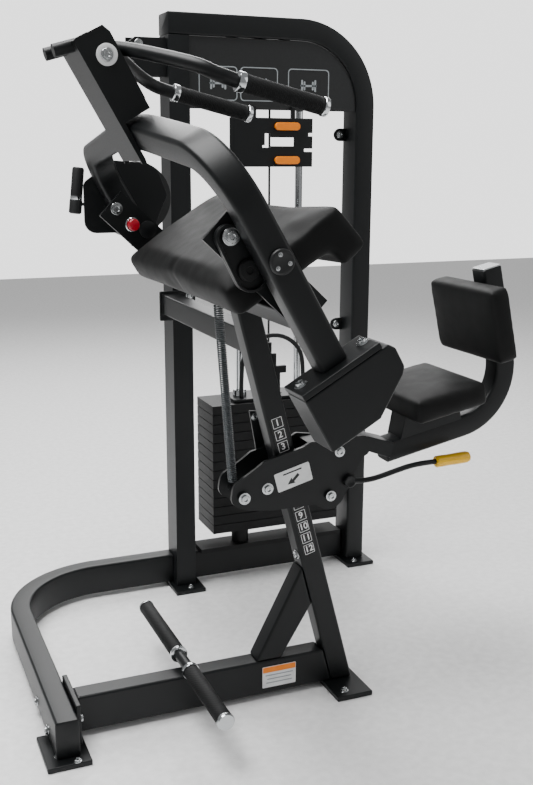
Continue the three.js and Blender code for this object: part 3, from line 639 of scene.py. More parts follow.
def fasteners(name, body, spots, head, tree, finish="zinc"):
    """All heads of one body as one mesh; a spot is (point, facing, radius in millimetres)."""
    mesh = bpy.data.meshes.new(name)
    mesh.from_pydata([tuple(point) for point, _, _ in spots], [], [])
    mesh.attributes.new("facing", "FLOAT_VECTOR", "POINT")
    mesh.attributes.new("size", "FLOAT", "POINT")
    for i, (_, direction, radius) in enumerate(spots):
        mesh.attributes["facing"].data[i].vector = direction
        mesh.attributes["size"].data[i].value = radius * MM
    made = in_scene(name, mesh)
    modifier = made.modifiers.new("fasteners", "NODES")
    modifier.node_group = tree
    set_input(modifier, "Head", head)
    set_input(modifier, "Finish", Finishes.get(finish))
    applied(made)
    return finished(made, body, finish)


def spring_tree():
    """A close-wound wire coil along +Z."""
    tree = bpy.data.node_groups.new("wire_coil", "GeometryNodeTree")
    face = tree.interface
    for label, kind in (("Turns", "Float"), ("Radius", "Float"), ("Length", "Float"), ("Wire", "Float")):
        face.new_socket(label, in_out="INPUT", socket_type="NodeSocket" + kind)
    face.new_socket("Finish", in_out="INPUT", socket_type="NodeSocketMaterial")
    face.new_socket("Geometry", in_out="OUTPUT", socket_type="NodeSocketGeometry")
    given = add_node(tree, "NodeGroupInput").outputs
    coil = add_node(tree, "GeometryNodeCurveSpiral", {
        "Resolution": 16, "Rotations": given["Turns"], "Start Radius": given["Radius"],
        "End Radius": given["Radius"], "Height": given["Length"]})
    wire = add_node(tree, "GeometryNodeCurvePrimitiveCircle", {"Resolution": 8, "Radius": given["Wire"]})
    body = add_node(tree, "GeometryNodeCurveToMesh", {
        "Curve": coil.outputs["Curve"], "Profile Curve": wire.outputs["Curve"], "Fill Caps": True})
    real = add_node(tree, "GeometryNodeRealizeInstances", {"Geometry": body.outputs["Mesh"]})
    painted = add_node(tree, "GeometryNodeSetMaterial", {
        "Geometry": real.outputs["Geometry"], "Material": given["Finish"]})
    add_node(tree, "NodeGroupOutput", {"Geometry": painted.outputs["Geometry"]})
    return tree


# ---- pieces ----
class MACHINE_OT_base(bpy.types.Operator):
    """Bent base rail, front rail, feet, post, brace and the foot pegs"""

    bl_idname = "machine.base"
    bl_label = "Base"

    def execute(self, context):
        steel = context.scene.machine_steel
        corner = steel.tube_corner / MM
        low, high = 12, 92
        line = filleted([(-84, -83), (-84, 688), (367.7, 688)], [235], 28)
        rail = swept_tube(
            "bent_rail", line, 48, high - low, lambda a, b, w: at(a, b, (low + high) / 2 + w), corner)
        finished(rail, "frame", "paint", ["base_bent_rail"])
        for node in ("front_rail", "post", "brace", "tower_base_rail", "tower_left_upright"):
            dressed(node, "paint", steel.tube_corner)
        for node in ("rail_joint_plate", "foot_front_left", "foot_front_right", "foot_tower_left",
                     "foot_tower_right"):
            dressed(node, "paint", 0.0025)
        dressed("cross_beam", "paint", 0.004)
        dressed("frame_link", "paint", 0.004)
        dressed("peg_bar", "paint", 0.001)
        return {"FINISHED"}


class MACHINE_OT_tower(bpy.types.Operator):
    """Arch of the tower with its lugs and shelf, panel, guide rods and pulleys"""

    bl_idname = "machine.tower"
    bl_label = "Tower"

    def execute(self, context):
        steel = context.scene.machine_steel
        line = filleted([(368, 1493), (918, 1493), (918, 12)], [191], 28)
        arch = swept_tube(
            "arch_tube", line, 54, 82, lambda a, b, w: at(a, ROD_Y + w, b), steel.tube_corner / MM)
        lugs = []
        for z in (1232, 708):
            tab = [(892, z - 17), (892, z + 17), *arc((873, z), 17, 90, 270, 12)]
            lugs.append(flat_plate("lug", tab, ORIGIN, ACROSS, UP, -699, -693, 0.001))
        hangers = []
        for y in (657.5, 686.5):
            outline = [(613, 1392), (637, 1392), (637, 1468), (613, 1468)]
            hangers.append(flat_plate(
                "hanger", outline, ORIGIN, ACROSS, UP, -y - 2.5, -y + 2.5, 0.0008))
        shelf = flat_plate(
            "shelf", [(545, 650), (765, 650), (765, 704), (545, 704)], ORIGIN, ACROSS,
            Vector((0, 1, 0)), 1362, 1370, 0.001)
        straps = [
            flat_plate(
                "strap", [(x0, 1364), (x0 + 34, 1364), (x0 + 34, 1468), (x0, 1468)], ORIGIN, ACROSS, UP,
                -704, -696, 0.001)
            for x0 in (545, 691)]
        tower = merged("tower_arch_finished", [arch, *lugs, *hangers, shelf, *straps])
        smooth_by_angle(tower.data, math.radians(34))
        finished(tower, "frame", "paint", ["tower_arch"])
        dressed("info_panel", "panel", 0.0008)
        dressed("guide_rod_left", "chrome", 0, smooth=40)
        dressed("guide_rod_right", "chrome", 0, smooth=40)
        dressed("pulley_bracket", "paint", 0.0012)
        dressed("pulley_left", "nylon", 0.0006)
        dressed("pulley_middle", "nylon", 0.0006)
        return {"FINISHED"}


class MACHINE_OT_stack(bpy.types.Operator):
    """Weight plates, bumpers, stem, hoop, pin and the add-on weight unit"""

    bl_idname = "machine.stack"
    bl_label = "Weight stack"

    def execute(self, context):
        dressed("stack_lower", "weights", 0.0012, 2)
        dressed("stack_upper", "weights", 0.0012, 2)
        dressed("stack_base", "rubber", 0.001, 2)
        dressed("selector_stem", "weights", 0.001, 2)
        dressed("stack_hoop", "paint", 0, smooth=40)
        dressed("selector_pin", "yellow", 0.001)
        dressed("increment_plate", "paint", 0.0012)
        dressed("increment_lever_upper", "orange", 0.002)
        dressed("increment_lever_lower", "orange", 0.002)
        for x in (569, 741):
            collar = turned(
                f"rod_collar_{x}", [(10.5, 0), (19, 0), (19, 16), (17, 19), (10.5, 19)],
                at(x, ROD_Y, 527.5), UP)
            finished(collar, "lift_stack", "chrome")
        return {"FINISHED"}


class MACHINE_OT_head(bpy.types.Operator):
    """Side plates that carry the arm, bumper, stop plate, stop lever and range knob"""

    bl_idname = "machine.head"
    bl_label = "Arm bearings"

    def execute(self, context):
        edge = context.scene.machine_steel.plate_edge
        for node in ("side_plate_near", "side_plate_far", "bumper_plate_near", "stop_plate"):
            dressed(node, "paint", edge)
        self.bumper_rim(edge)
        self.knob()
        self.stop_lever()
        cover = turned(
            "bearing_cover", [(0, 0.2), (19, 0.2), (20, 1.2), (20, 2.6), (18.5, 3.6), (0, 3.6)],
            at(PIVOT_X, 389.8, PIVOT_Z), NEAR)
        finished(cover, "frame", "paint")
        dressed("cam", "nylon", 0.001)
        dressed("pivot_shaft_far", "chrome", 0.001)
        return {"FINISHED"}

    def bumper_rim(self, edge):
        """Raised rim round the stadium plate, with the rubber block it holds."""
        top, low = Vector((166, 1046)), Vector((206, 985))
        tilt = math.degrees(math.atan2(low.y - top.y, low.x - top.x))
        outer = arc(top, 22, tilt + 90, tilt + 270, 16) + arc(low, 30, tilt - 90, tilt + 90, 20)
        inner = arc(top, 17, tilt + 90, tilt + 270, 16) + arc(low, 25, tilt - 90, tilt + 90, 20)
        builder = bmesh.new()
        loops = []
        for outline, y in ((outer, -326), (outer, -334), (inner, -334), (inner, -326)):
            loops.append([builder.verts.new(at(x, y, z)) for x, z in outline])
        joined_rings(builder, loops + loops[:1])
        bmesh.ops.recalc_face_normals(builder, faces=builder.faces)
        rim = object_of("bumper_rim", builder)
        softened(rim, edge * 0.6, 2)
        finished(rim, "frame", "paint")
        block = turned(
            "stop_block", [(0, 0), (17, 0), (19, 2), (19, 6), (16, 9), (7, 9.5), (6, 7), (0, 7)],
            at(202, -326, 992), NEAR)
        finished(block, "frame", "rubber")

    def knob(self):
        """Domed red knob in its bright ring, pulled towards the user."""
        start = at(199, 389.5, 1022)
        red = turned(
            "range_knob_head",
            [(0, 2), (5, 2), (7, 8), (11, 12), (13.5, 15), (13.5, 19), (11, 22), (5, 23.5), (0, 24)],
            start, NEAR)
        finished(red, "range_knob", "red", ["range_pin"])
        ring = turned(
            "range_knob_ring",
            [(9, 0), (16, 0), (16.5, 1), (16.5, 7), (15, 9), (12, 9), (9, 6)], start, NEAR)
        finished(ring, "frame", "chrome")

    def stop_lever(self):
        """Round rubber grip with a bright ferrule and its bolt."""
        y = 540
        top, low, foot = at(114, y, 1148), at(106, y, 1076), at(102, y, 1040)
        length = (top - low).length / MM
        grip = turned(
            "stop_lever_grip",
            [(0, 0), (11, 0), (14, 3), (14, length - 5), (12, length - 1), (8, length), (0, length)],
            low, top - low)
        ferrule = turned(
            "stop_lever_ferrule", [(0, 0), (12, 0), (15, 3), (15, 30), (13, 36), (0, 36)], foot, low - foot)
        arm = turned(
            "stop_lever_arm", [(0, 0), (4, 0), (4, 17), (0, 17)], at(106, y, 1062), ACROSS, 16)
        collar = turned(
            "stop_lever_collar",
            [(10, -4), (13.5, -4), (14.2, -3), (14.2, 5), (13, 6), (10, 6)], low, top - low)
        finished(collar, "stop_lever", "chrome")
        finished(grip, "stop_lever", "rubber", ["stop_handle"])
        finished(merged("stop_lever_hub", [ferrule, arm]), "stop_lever", "nylon")


class MACHINE_OT_arm(bpy.types.Operator):
    """Yoke, flange, counterweight and the carrier of the handles"""

    bl_idname = "machine.arm"
    bl_label = "Exercise arm"

    def execute(self, context):
        steel = context.scene.machine_steel
        line = filleted([(-361, -205), (-361, 192), (45, 250), (504, 192), (504, -42)], [118, 900, 100], 26)
        yoke = swept_tube(
            "yoke_finished", line, 50, 54, lambda a, b, w: on_arm(a, b, w), steel.tube_corner / MM + 2)
        finished(yoke, "exercise_arm", "paint", ["yoke"])
        dressed("yoke_flange", "paint", 0.002)
        dressed("counterweight", "paint", 0.004)
        dressed("handle_carrier", "paint", 0.0015)
        cap = turned(
            "pivot_cap", [(0, 0), (21.5, 0), (22, 1), (22, 4), (20.5, 6), (17, 7), (14, 6), (0, 6)],
            at(PIVOT_X, -386.2, PIVOT_Z), NEAR)
        finished(cap, "exercise_arm", "nylon", ["pivot_shaft_near"])
        washer = turned(
            "handle_pivot_washer",
            [(0, 0), (19, 0), (19.5, 0.6), (19.5, 2.4), (18.5, 3), (12.5, 3), (12, 2), (0, 2)],
            on_arm(-40, 389, 3), NEAR)
        finished(washer, "exercise_arm", "white")
        return {"FINISHED"}


class MACHINE_OT_handles(bpy.types.Operator):
    """Bent handle bars with ribbed grips, bright collars and end caps"""

    bl_idname = "machine.handles"
    bl_label = "Handles"

    grips = {"near": (-165, -8), "far": (210, 58)}

    def execute(self, context):
        bars = [self.bent_bar(side) for side in self.grips]
        hub = turned("hub", [(0, 0), (20, 0), (20, 100), (0, 100)], on_arm(-25, 389, 3), -NEAR)
        tail = flat_plate(
            "tail", [(384, -26), (400, -26), (400, -14), (384, -14)],
            at(PIVOT_X, 0, PIVOT_Z), ARM_UP, ARM_SIDE, -20, 70, 0.002)
        frame_piece = merged("handle_bars", [*bars, hub, tail])
        smooth_by_angle(frame_piece.data, math.radians(36))
        finished(frame_piece, "handles", "paint", ["handle_frame"])
        for side, (y, _) in self.grips.items():
            self.grip(side, y)
        return {"FINISHED"}

    def bent_bar(self, side):
        """One bar from the hub out to the end of its grip."""
        y, inner = self.grips[side]
        knots = [
            on_arm(inner, 389, 8), on_arm(inner, 386, 38), at(165, y * 0.82 + inner * 0.18, 1333),
            at(208, y, 1314), at(245, y, 1303)]
        return round_tube(f"bar_{side}", [*through(knots, 10), at(415, y, 1262.5)], 0.013, 24)

    def grip(self, side, y):
        """Ribbed rubber sleeve between a chrome collar and a chrome end cap."""
        start, end = at(257, y, 1300.1), at(409, y, 1264)
        axis = end - start
        length = axis.length / MM
        ribs = []
        pitch = 4.0
        count = int((length - 12) / pitch)
        for k in range(count):
            h = 6 + k * pitch
            ribs += [(16.4, h), (16.4, h + 2.6), (15.7, h + 3.0), (15.7, h + 3.7)]
        profile = [(13.8, 0), (16.5, 0), (16.6, 4), *ribs, (16.6, length - 5), (16, length), (13.8, length)]
        sleeve = turned(f"grip_sleeve_{side}", profile, start, axis)
        finished(sleeve, "handles", "grip", [f"grip_{side}"])
        collar = turned(
            f"grip_collar_{side}",
            [(13.2, -13), (17.5, -13), (18.2, -11.5), (18.2, -1.5), (17.5, 0), (13.2, 0)],
            start, axis)
        finished(collar, "handles", "chrome")
        cap = turned(
            f"grip_cap_{side}",
            [(0, 0.3), (17, 0.3), (18, 1.5), (18, 7), (16.5, 10), (13, 11), (0, 11)], end, axis)
        finished(cap, "handles", "chrome")


def through(knots, steps):
    """Points on a smooth curve through the knots."""
    points = []
    for i in range(len(knots) - 1):
        p0 = knots[max(i - 1, 0)]
        p1, p2 = knots[i], knots[i + 1]
        p3 = knots[min(i + 2, len(knots) - 1)]
        for k in range(steps):
            t = k / steps
            points.append(0.5 * (
                2 * p1 + (p2 - p0) * t + (2 * p0 - 5 * p1 + 4 * p2 - p3) * t * t
                + (3 * p1 - p0 - 3 * p2 + p3) * t * t * t))
    points.append(knots[-1])
    return points


class MACHINE_OT_seat(bpy.types.Operator):
    """Carriage plates, bent seat tube, release lever and locking pin"""

    bl_idname = "machine.seat"
    bl_label = "Seat carriage"

    def execute(self, context):
        steel = context.scene.machine_steel
        for node in ("carriage_plate_near", "carriage_plate_far"):
            dressed(node, "paint", steel.plate_edge)
        for node in ("carriage_axle_left", "carriage_axle_right", "lock_pin"):
            dressed(node, "chrome", 0.001)
        line = filleted([(659, 538), (990, 606), (912, 935)], [130], 26)
        tube = swept_tube(
            "seat_tube", line, 50, 50, lambda a, b, w: at(a, USER_Y + w, b), steel.tube_corner / MM + 1)
        stub = [(470, 545), (600, 552), (664, 528), (672, 562), (607, 583), (470, 580)]
        arm = flat_plate("stub", stub, ORIGIN, ACROSS, UP, -59.7, 9.7, 0.002)
        riser = [(690, 566), (845, 598), (836, 647), (700, 621)]
        bracket = flat_plate("riser", riser, ORIGIN, ACROSS, UP, -56, 6, 0.002)
        seat = merged("seat_frame_finished", [tube, arm, bracket])
        smooth_by_angle(seat.data, math.radians(34))
        finished(seat, "seat_carriage", "paint", ["seat_frame"])
        along = Vector((-0.2306, 0, 0.973))
        cap = flat_plate(
            "back_tube_cap", rounded_section(47, 47, 5), at(912, USER_Y, 935) + along * 0.0002,
            Vector((0.973, 0, 0.2306)), Vector((0, 1, 0)), 0, 3, 0.001)
        finished(cap, "seat_carriage", "zinc")
        strip = [(360, 645), (383, 642), (408, 530), (380, 533)]
        arm = flat_plate("carriage_stop_arm", strip, ORIGIN, ACROSS, UP, -74, -68.3, 0.001)
        finished(arm, "seat_carriage", "paint")
        self.lever()
        return {"FINISHED"}

    def lever(self):
        """Black bent rod from its round hub, with a yellow grip."""
        hub = turned(
            "seat_lever_hub", [(7, 0), (13, 0), (13.5, 1), (13.5, 11), (12, 12.5), (9, 12.5), (7, 11)],
            at(556, -17.9, 492), NEAR)
        knots = [
            at(566, -25, 492), at(610, -32, 494), at(697, -40, 515), at(765, -40, 518), at(792, -40, 518)]
        rod = round_tube("rod", through(knots, 10), 0.006, 16)
        shaft = merged("seat_lever_rod", [hub, rod])
        smooth_by_angle(shaft.data, math.radians(38))
        finished(shaft, "seat_lever", "paint", ["release_lever"])
        start, end = at(760, -40, 517), at(848, -40, 520)
        grip = turned(
            "seat_lever_grip",
            [(6, 0), (11, 0), (13, 2), (13.2, 10), (12.6, 30), (13.2, 60), (13.2, 78),
             (11, 85), (6, 88), (0, 88)],
            start, end - start)
        finished(grip, "seat_lever", "yellow")


class MACHINE_OT_rubber(bpy.types.Operator):
    """Foot peg sleeves with their collars and end caps"""

    bl_idname = "machine.rubber"
    bl_label = "Foot pegs"

    def execute(self, context):
        for side, low, high in (("near", -226, -22), ("far", 72, 316)):
            length = high - low
            profile = [(12.4, 0), (16, 0), (17, 2), (17, length - 2), (16, length), (12.4, length)]
            sleeve = turned(f"peg_rubber_{side}", profile, at(193, low, 112), -NEAR)
            finished(sleeve, "frame", "grip", [f"peg_sleeve_{side}"])
        for name, y, out in (("near", -21.5, 1), ("far", 71.5, -1)):
            collar = turned(
                f"peg_collar_{name}", [(12.2, 0), (18, 0), (18.5, 1), (18.5, 9), (17, 10), (12.2, 10)],
                at(193, y, 112), Vector((0, out, 0)))
            finished(collar, "frame", "chrome")
        for name, y, out in (("near", -226.5, -1), ("far", 316.5, 1)):
            cap = turned(
                f"peg_cap_{name}", [(0, 0), (17.5, 0), (18, 1), (18, 6), (16, 9), (0, 10)],
                at(193, y, 112), Vector((0, out, 0)))
            finished(cap, "frame", "zinc")
        return {"FINISHED"}


class MACHINE_OT_pads(bpy.types.Operator):
    """Stuffed and upholstered arm pad, seat pad and back pad"""

    bl_idname = "machine.pads"
    bl_label = "Pads"

    def execute(self, context):
        self.stuffed("arm_pad", 0.95)
        self.stuffed("seat_pad", 0.9)
        self.stuffed("back_pad", 0.9)
        return {"FINISHED"}

    def stuffed(self, node, fill):
        """Swells a slightly shrunken copy of the plain pad like a filled cover."""
        pads = bpy.context.scene.machine_pads
        piece = object_of(node + "_cover", shape_of(node))
        bevel = piece.modifiers.new("edges", "BEVEL")
        bevel.width = 0.010
        bevel.segments = 4
        bevel.angle_limit = math.radians(30)
        bevel.limit_method = "ANGLE"
        remesh = piece.modifiers.new("skin", "REMESH")
        remesh.mode = "VOXEL"
        remesh.voxel_size = pads.voxel
        applied(piece)
        shrunk = 0.0005
        for vertex in piece.data.vertices:
            vertex.co = vertex.co - vertex.normal * shrunk
        self.blow_up(piece, pads.pressure, pads.bulge)
        soften = piece.modifiers.new("soften", "SMOOTH")
        soften.factor = 0.5
        soften.iterations = 20
        detail = piece.modifiers.new("detail", "SUBSURF")
        detail.levels = detail.render_levels = 1
        applied(piece)
        all_smooth(piece)
        finished(piece, body_holding(node), "vinyl", [node])

    def blow_up(self, piece, pressure, bulge):
        """Cloth with inner pressure, run for twenty frames and kept within the bulge."""
        scene = bpy.context.scene
        rest = [vertex.co.copy() for vertex in piece.data.vertices]
        modifier = piece.modifiers.new("filling", "CLOTH")
        settings = modifier.settings
        settings.use_pressure = True
        settings.uniform_pressure_force = pressure
        settings.effector_weights.gravity = 0
        settings.quality = 5
        settings.tension_stiffness = 60
        settings.compression_stiffness = 60
        settings.shear_stiffness = 30
        settings.bending_stiffness = 15
        modifier.point_cache.frame_start = 1
        modifier.point_cache.frame_end = 20
        for number in range(1, 21):
            scene.frame_set(number)
        applied(piece)
        for vertex, before in zip(piece.data.vertices, rest):
            move = vertex.co - before
            if move.length > bulge:
                vertex.co = before + move.normalized() * bulge
        scene.frame_set(1)


class MACHINE_OT_fasteners(bpy.types.Operator):
    """Bolts and washers of every body"""

    bl_idname = "machine.fasteners"
    bl_label = "Fasteners"

    def execute(self, context):
        head, tree = fastener_head(), fastener_tree()
        spots = [
            (at(-108, 124, 32), -ACROSS, 11), (at(-108, 2, 32), -ACROSS, 12),
            (at(-48, -24, 60), ACROSS, 11), (at(-48, 74, 74), ACROSS, 9), (at(-48, 74, 30), ACROSS, 9),
            (at(406, 622, 766), NEAR, 12), (at(411, 622, 820), NEAR, 11),
            (at(297, 647, 1442), NEAR, 11), (at(450.5, 14, 326), -POST_ACROSS, 11),
            (at(165, 390, 1058), NEAR, 14), (at(169, -334, 1048), NEAR, 15),
            (at(873, 693, 1232), NEAR, 10), (at(873, 693, 708), NEAR, 10),
            (at(-101, -70, 12), UP, 10), (at(-70, -98, 12), UP, 9), (at(540, -52, 12), UP, 10),
            (at(580, 105, 12), UP, 10), (at(400, 612, 12), UP, 10), (at(905, 612, 12), UP, 10),
        ]
        fasteners("frame_bolts", "frame", spots, head, tree)
        arm = [
            (on_arm(-371, -205, 66), ARM_UP, 12), (on_arm(-371, -205, -66), ARM_UP, 12),
            (on_arm(-43, 389, 3), NEAR, 11),
        ]
        for angle in (60, 180, 300):
            turned_to = math.radians(angle + 20)
            spot = on_arm(-393, 13 * math.sin(turned_to), 13 * math.cos(turned_to))
            arm.append((spot, NEAR, 4))
        fasteners("arm_bolts", "exercise_arm", arm, head, tree)
        near = -18
        seat = [
            (at(313, near - 6, 483), NEAR, 13), (at(367, near, 496), NEAR, 13),
            (at(512, near - 6, 464), NEAR, 12),
            (at(534, near, 559), NEAR, 12), (at(313, 74, 483), -NEAR, 13), (at(512, 74, 464), -NEAR, 12),
            (at(373, 68.3, 631), NEAR, 9),
        ]
        fasteners("seat_bolts", "seat_carriage", seat, head, tree)
        bpy.data.objects.remove(head)
        return {"FINISHED"}


class MACHINE_OT_lines(bpy.types.Operator):
    """Lift cable over its pulleys and the wound assist spring"""

    bl_idname = "machine.lines"
    bl_label = "Cable and spring"

    def execute(self, context):
        self.cable()
        self.spring(context.scene.machine_small.spring_turns)
        return {"FINISHED"}

    def cable(self):
        """From the cam, over both pulleys and down to the stem."""
        def over(x, y, z, radius, start, end, steps):
            return [at(px, y, pz) for px, pz in arc((x, z), radius, start, end, steps)]

        route = [
            *over(265, 596, 1073, 84, 215, 168, 10), *over(312, 664, 1412, 40, 168, 90, 12),
            *over(625, 672, 1422, 30, 90, 0, 12)]
        bottom = at(STACK_X, ROD_Y, 674)
        drop = route[-1]
        route += [drop + (bottom - drop) * (k / 30) for k in range(1, 31)]
        cable = round_tube("lift_cable_finished", route, 0.003, 12)
        cable.data.materials.append(Finishes.get("nylon"))
        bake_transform(cable)
        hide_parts("lift_cable")

    def spring(self, turns):
        """Close-wound coil with room for a hook at each end."""
        top, low = at(274, USER_Y, 894), at(306, USER_Y, 494)
        along = low - top
        hook = 0.012
        coil = in_scene("assist_spring_coil", bpy.data.meshes.new("coil"))
        modifier = coil.modifiers.new("coil", "NODES")
        modifier.node_group = spring_tree()
        set_input(modifier, "Turns", float(turns))
        set_input(modifier, "Radius", 0.0085)
        set_input(modifier, "Length", along.length - 2 * hook)
        set_input(modifier, "Wire", 0.0016)
        set_input(modifier, "Finish", Finishes.get("spring"))
        applied(coil)
        turn = along.to_track_quat("Z", "Y").to_matrix().to_4x4()
        coil.data.transform(Matrix.Translation(top + along.normalized() * hook) @ turn)
        all_smooth(coil)
        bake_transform(coil)
        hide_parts("assist_spring")


class MACHINE_OT_labels(bpy.types.Operator):
    """Number scale on the post, plain labels, and the frames on the panel"""

    bl_idname = "machine.labels"
    bl_label = "Labels"

    def execute(self, context):
        self.scale()
        self.arrow_label()
        self.rail_label()
        self.panel_frames()
        return {"FINISHED"}

    def scale(self):
        """Twelve framed numbers down the front of the post."""
        pitch = 26.5
        start = 632
        rows = []
        for i in range(12):
            z = start - i * pitch
            rows.append(Vector((POST_FOOT_X - POST_TAN * z, z)))
        middle = at(*self.on_post(rows[5], -0.2))
        length = pitch * 12 + 6
        strip = flat_plate(
            "number_strip", rounded_section(30, length, 2), (middle + at(*self.on_post(rows[6], -0.2))) / 2,
            POST_ACROSS, POST_UP, 0, 0.6)
        finished(strip, "frame", "black_ink")
        frames, digits = [], []
        for i, row in enumerate(rows):
            centre = at(*self.on_post(row, -0.9))
            frames.append(self.ring(centre, 23, 22.5, 1.0, 1.2))
            digits.append(self.digit(str(i + 1), centre))
        finished(merged("number_frames", frames), "frame", "white")
        finished(merged("numbers", digits), "frame", "white")

    def on_post(self, row, y):
        return row.x, y, row.y

    def ring(self, centre, width, height, line, radius):
        """A thin rounded frame on the front of the post."""
        outer = rounded_section(width, height, radius, 3)
        inner = rounded_section(width - 2 * line, height - 2 * line, radius * 0.6, 3)
        return frame_plate("ring", outer, inner, centre, POST_ACROSS, POST_UP, 0.4)

    def digit(self, text, centre):
        """A number as thin relief, upright along the post."""
        curve = bpy.data.curves.new("digit", "FONT")
        curve.body = text
        curve.size = 0.02
        curve.extrude = 0.0002
        curve.offset = 0.0004
        curve.align_x = "CENTER"
        curve.align_y = "CENTER"
        written = in_scene("digit", curve)
        mesh = bpy.data.meshes.new_from_object(written.evaluated_get(bpy.context.evaluated_depsgraph_get()))
        bpy.data.objects.remove(written)
        made = in_scene("digit", mesh)
        turn = Matrix((POST_ACROSS, POST_UP, POST_ACROSS.cross(POST_UP))).transposed().to_4x4()
        mesh.transform(Matrix.Translation(centre) @ turn)
        return made

    def arrow_label(self):
        """White label with a plain arrow on the near carriage plate."""
        slope = Vector((79, 0, 21)).normalized()
        rise = Vector((-21, 0, 79)).normalized()
        centre = at(426, -18.2, 515)
        label = flat_plate("arrow_label", rounded_section(82, 42, 3), centre, slope, rise, 0, 0.6)
        finished(label, "seat_carriage", "white")
        outline = [(-17, -11), (-5, 1), (-4, -4), (11, 6), (14, 0), (-1, -9), (1, -13)]
        arrow = flat_plate("arrow", outline, centre + NEAR * 0.0006, slope, rise, 0, 0.4)
        line = centre + NEAR * 0.0006 + rise * 0.013
        bar = flat_plate("line", rounded_section(44, 3, 1, 2), line, slope, rise, 0, 0.4)
        finished(merged("arrow_mark", [arrow, bar]), "seat_carriage", "black_ink")

    def rail_label(self):
        """Two-tone label on the front rail, its lines left blank."""
        centre = at(404, -0.2, 52)
        sheet = flat_plate("rail_label", rounded_section(80, 50, 2), centre, ACROSS, UP, 0, 0.5)
        finished(sheet, "frame", "white")
        upper = centre + Vector((0, -0.0005, 0.0175))
        band = flat_plate("rail_label_band", rounded_section(78, 13, 1.5), upper, ACROSS, UP, 0, 0.4)
        finished(band, "frame", "orange")
        bars = []
        for k, width in enumerate((66, 58, 62)):
            spot = centre + Vector((0, -0.0005, 0.004 - 0.009 * k))
            outline = rounded_section(width, 2.4, 0.8, 2)
            bars.append(flat_plate("bar", outline, spot, ACROSS, UP, 0, 0.3))
        finished(merged("rail_label_lines", bars), "frame", "grey_ink")

    def panel_frames(self):
        """Three rounded picture frames with a plain dumbbell in each."""
        rings, marks = [], []
        for x in (500, 612, 752):
            centre = at(x, 638.8, 1354)
            wide = 104 if x < 700 else 118
            rings.append(frame_plate(
                "ring", rounded_section(wide, 84, 10, 4), rounded_section(wide - 5, 79, 8, 4), centre,
                ACROSS, UP, 0.5))
            marks.append(flat_plate("bar", rounded_section(46, 5, 2), centre, ACROSS, UP, 0, 0.4))
            for dx, tall in ((-19, 30), (-12, 22), (12, 22), (19, 30)):
                spot = centre + Vector((dx * MM, 0, 0))
                marks.append(flat_plate("disc", rounded_section(5, tall, 2), spot, ACROSS, UP, 0, 0.4))
        finished(merged("panel_frames", rings), "frame", "grey_ink")
        finished(merged("panel_marks", marks), "frame", "grey_ink")


def frame_plate(name, outer, inner, centre, u, v, height):
    """A flat ring between two outlines with the same number of points."""
    w = u.cross(v)
    builder = bmesh.new()
    loops = []
    for outline, level in ((outer, 0), (outer, height), (inner, height), (inner, 0)):
        loops.append([builder.verts.new(centre + (u * a + v * b + w * level) * MM) for a, b in outline])
    joined_rings(builder, loops + loops[:1])
    bmesh.ops.recalc_face_normals(builder, faces=builder.faces)
    return object_of(name, builder)


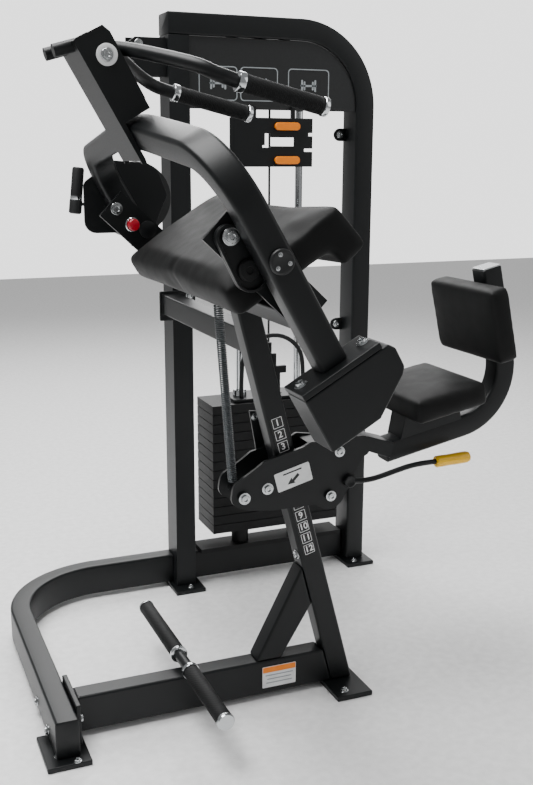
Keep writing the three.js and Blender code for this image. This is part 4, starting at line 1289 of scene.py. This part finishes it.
class MACHINE_OT_stage(bpy.types.Operator):
    """Floor, soft lights and camera"""

    bl_idname = "machine.stage"
    bl_label = "Stage"

    def execute(self, context):
        settings = context.scene.machine_stage
        self.floor()
        self.lights()
        self.camera(settings.lens)
        return {"FINISHED"}

    def floor(self):
        builder = bmesh.new()
        bmesh.ops.create_grid(builder, x_segments=1, y_segments=1, size=8)
        ground = object_of("floor", builder)
        ground.data.materials.append(Finishes.get("floor"))

    def lights(self):
        world = bpy.data.worlds.new("studio")
        bpy.context.scene.world = world
        world.use_nodes = True
        tree = world.node_tree
        sky = tree.nodes["Background"]
        sky.inputs["Color"].default_value = (1, 1, 1, 1)
        # a bright backdrop behind the tower, and a dim room on the user's side
        tower_side = (0.38, 0.92, 0.0)
        direction = add_node(tree, "ShaderNodeTexCoord").outputs["Generated"]
        towards = add_node(
            tree, "ShaderNodeVectorMath", {0: direction, 1: tower_side}, operation="DOT_PRODUCT")
        strength = add_node(tree, "ShaderNodeMapRange", {
            "Value": towards.outputs["Value"],
            "From Min": 0.8, "From Max": 0.94, "To Min": 0.3, "To Max": 2.1})
        tree.links.new(strength.outputs["Result"], sky.inputs["Strength"])
        middle = Vector((0, 0, 0.7))
        for name, place, size, power in (
            ("key_light", (-1.1, 0.0, 3.7), 2.2, 190),
            ("fill_light", (3.0, -2.2, 2.4), 2.6, 25),
            ("back_light", (0.6, 3.0, 3.2), 2.4, 130),
        ):
            lamp = bpy.data.lights.new(name, "AREA")
            lamp.size = size
            lamp.energy = power
            made = in_scene(name, lamp)
            made.location = place
            made.rotation_euler = (middle - Vector(place)).to_track_quat("-Z", "Y").to_euler()

    def camera(self, lens):
        """Eye height a little over the pads, turned towards the seat side."""
        yaw, pitch, roll = math.radians(22.517), math.radians(13.084), math.radians(0.227)
        forward = Vector((
            math.sin(yaw) * math.cos(pitch), math.cos(yaw) * math.cos(pitch), -math.sin(pitch)))
        level = Vector((math.cos(yaw), -math.sin(yaw), 0))
        rise = level.cross(forward)
        right = level * math.cos(roll) + rise * math.sin(roll)
        above = -level * math.sin(roll) + rise * math.cos(roll)
        data = bpy.data.cameras.new("camera")
        data.lens = lens
        data.sensor_width = 36
        made = in_scene("camera", data)
        turn = Matrix((right, above, -forward)).transposed().to_4x4()
        made.matrix_world = Matrix.Translation(at(-417.7, -1902.5, 1177.7)) @ turn
        bpy.context.scene.camera = made


class MACHINE_PT_sidebar(bpy.types.Panel):
    """Lists the pieces of the machine"""

    bl_idname = "MACHINE_PT_sidebar"
    bl_label = "Arm Curl Machine"
    bl_space_type = "VIEW_3D"
    bl_region_type = "UI"
    bl_category = "Machine"

    def draw(self, context):
        for group in ("machine_steel", "machine_pads", "machine_small", "machine_stage"):
            settings = getattr(context.scene, group)
            column = self.layout.column(align=True)
            for name in settings.__annotations__:
                column.prop(settings, name)
        for operator in OPERATORS:
            self.layout.operator(operator.bl_idname)


SETTINGS = {
    "machine_steel": SteelSettings,
    "machine_pads": PadSettings,
    "machine_small": SmallPartSettings,
    "machine_stage": StageSettings,
}
OPERATORS = (
    MACHINE_OT_stage, MACHINE_OT_base, MACHINE_OT_tower, MACHINE_OT_stack, MACHINE_OT_head, MACHINE_OT_arm,
    MACHINE_OT_handles, MACHINE_OT_seat, MACHINE_OT_rubber, MACHINE_OT_pads, MACHINE_OT_fasteners,
    MACHINE_OT_lines, MACHINE_OT_labels,
)


def register():
    for name, settings in SETTINGS.items():
        bpy.utils.register_class(settings)
        setattr(bpy.types.Scene, name, PointerProperty(type=settings))
    for operator in OPERATORS:
        bpy.utils.register_class(operator)
    bpy.utils.register_class(MACHINE_PT_sidebar)


def unregister():
    bpy.utils.unregister_class(MACHINE_PT_sidebar)
    for operator in reversed(OPERATORS):
        bpy.utils.unregister_class(operator)
    for name, settings in SETTINGS.items():
        delattr(bpy.types.Scene, name)
        bpy.utils.unregister_class(settings)


def main():
    register()
    for operator in OPERATORS:
        group, name = operator.bl_idname.split(".")
        getattr(getattr(bpy.ops, group), name)()


if __name__ == "__main__":
    main()
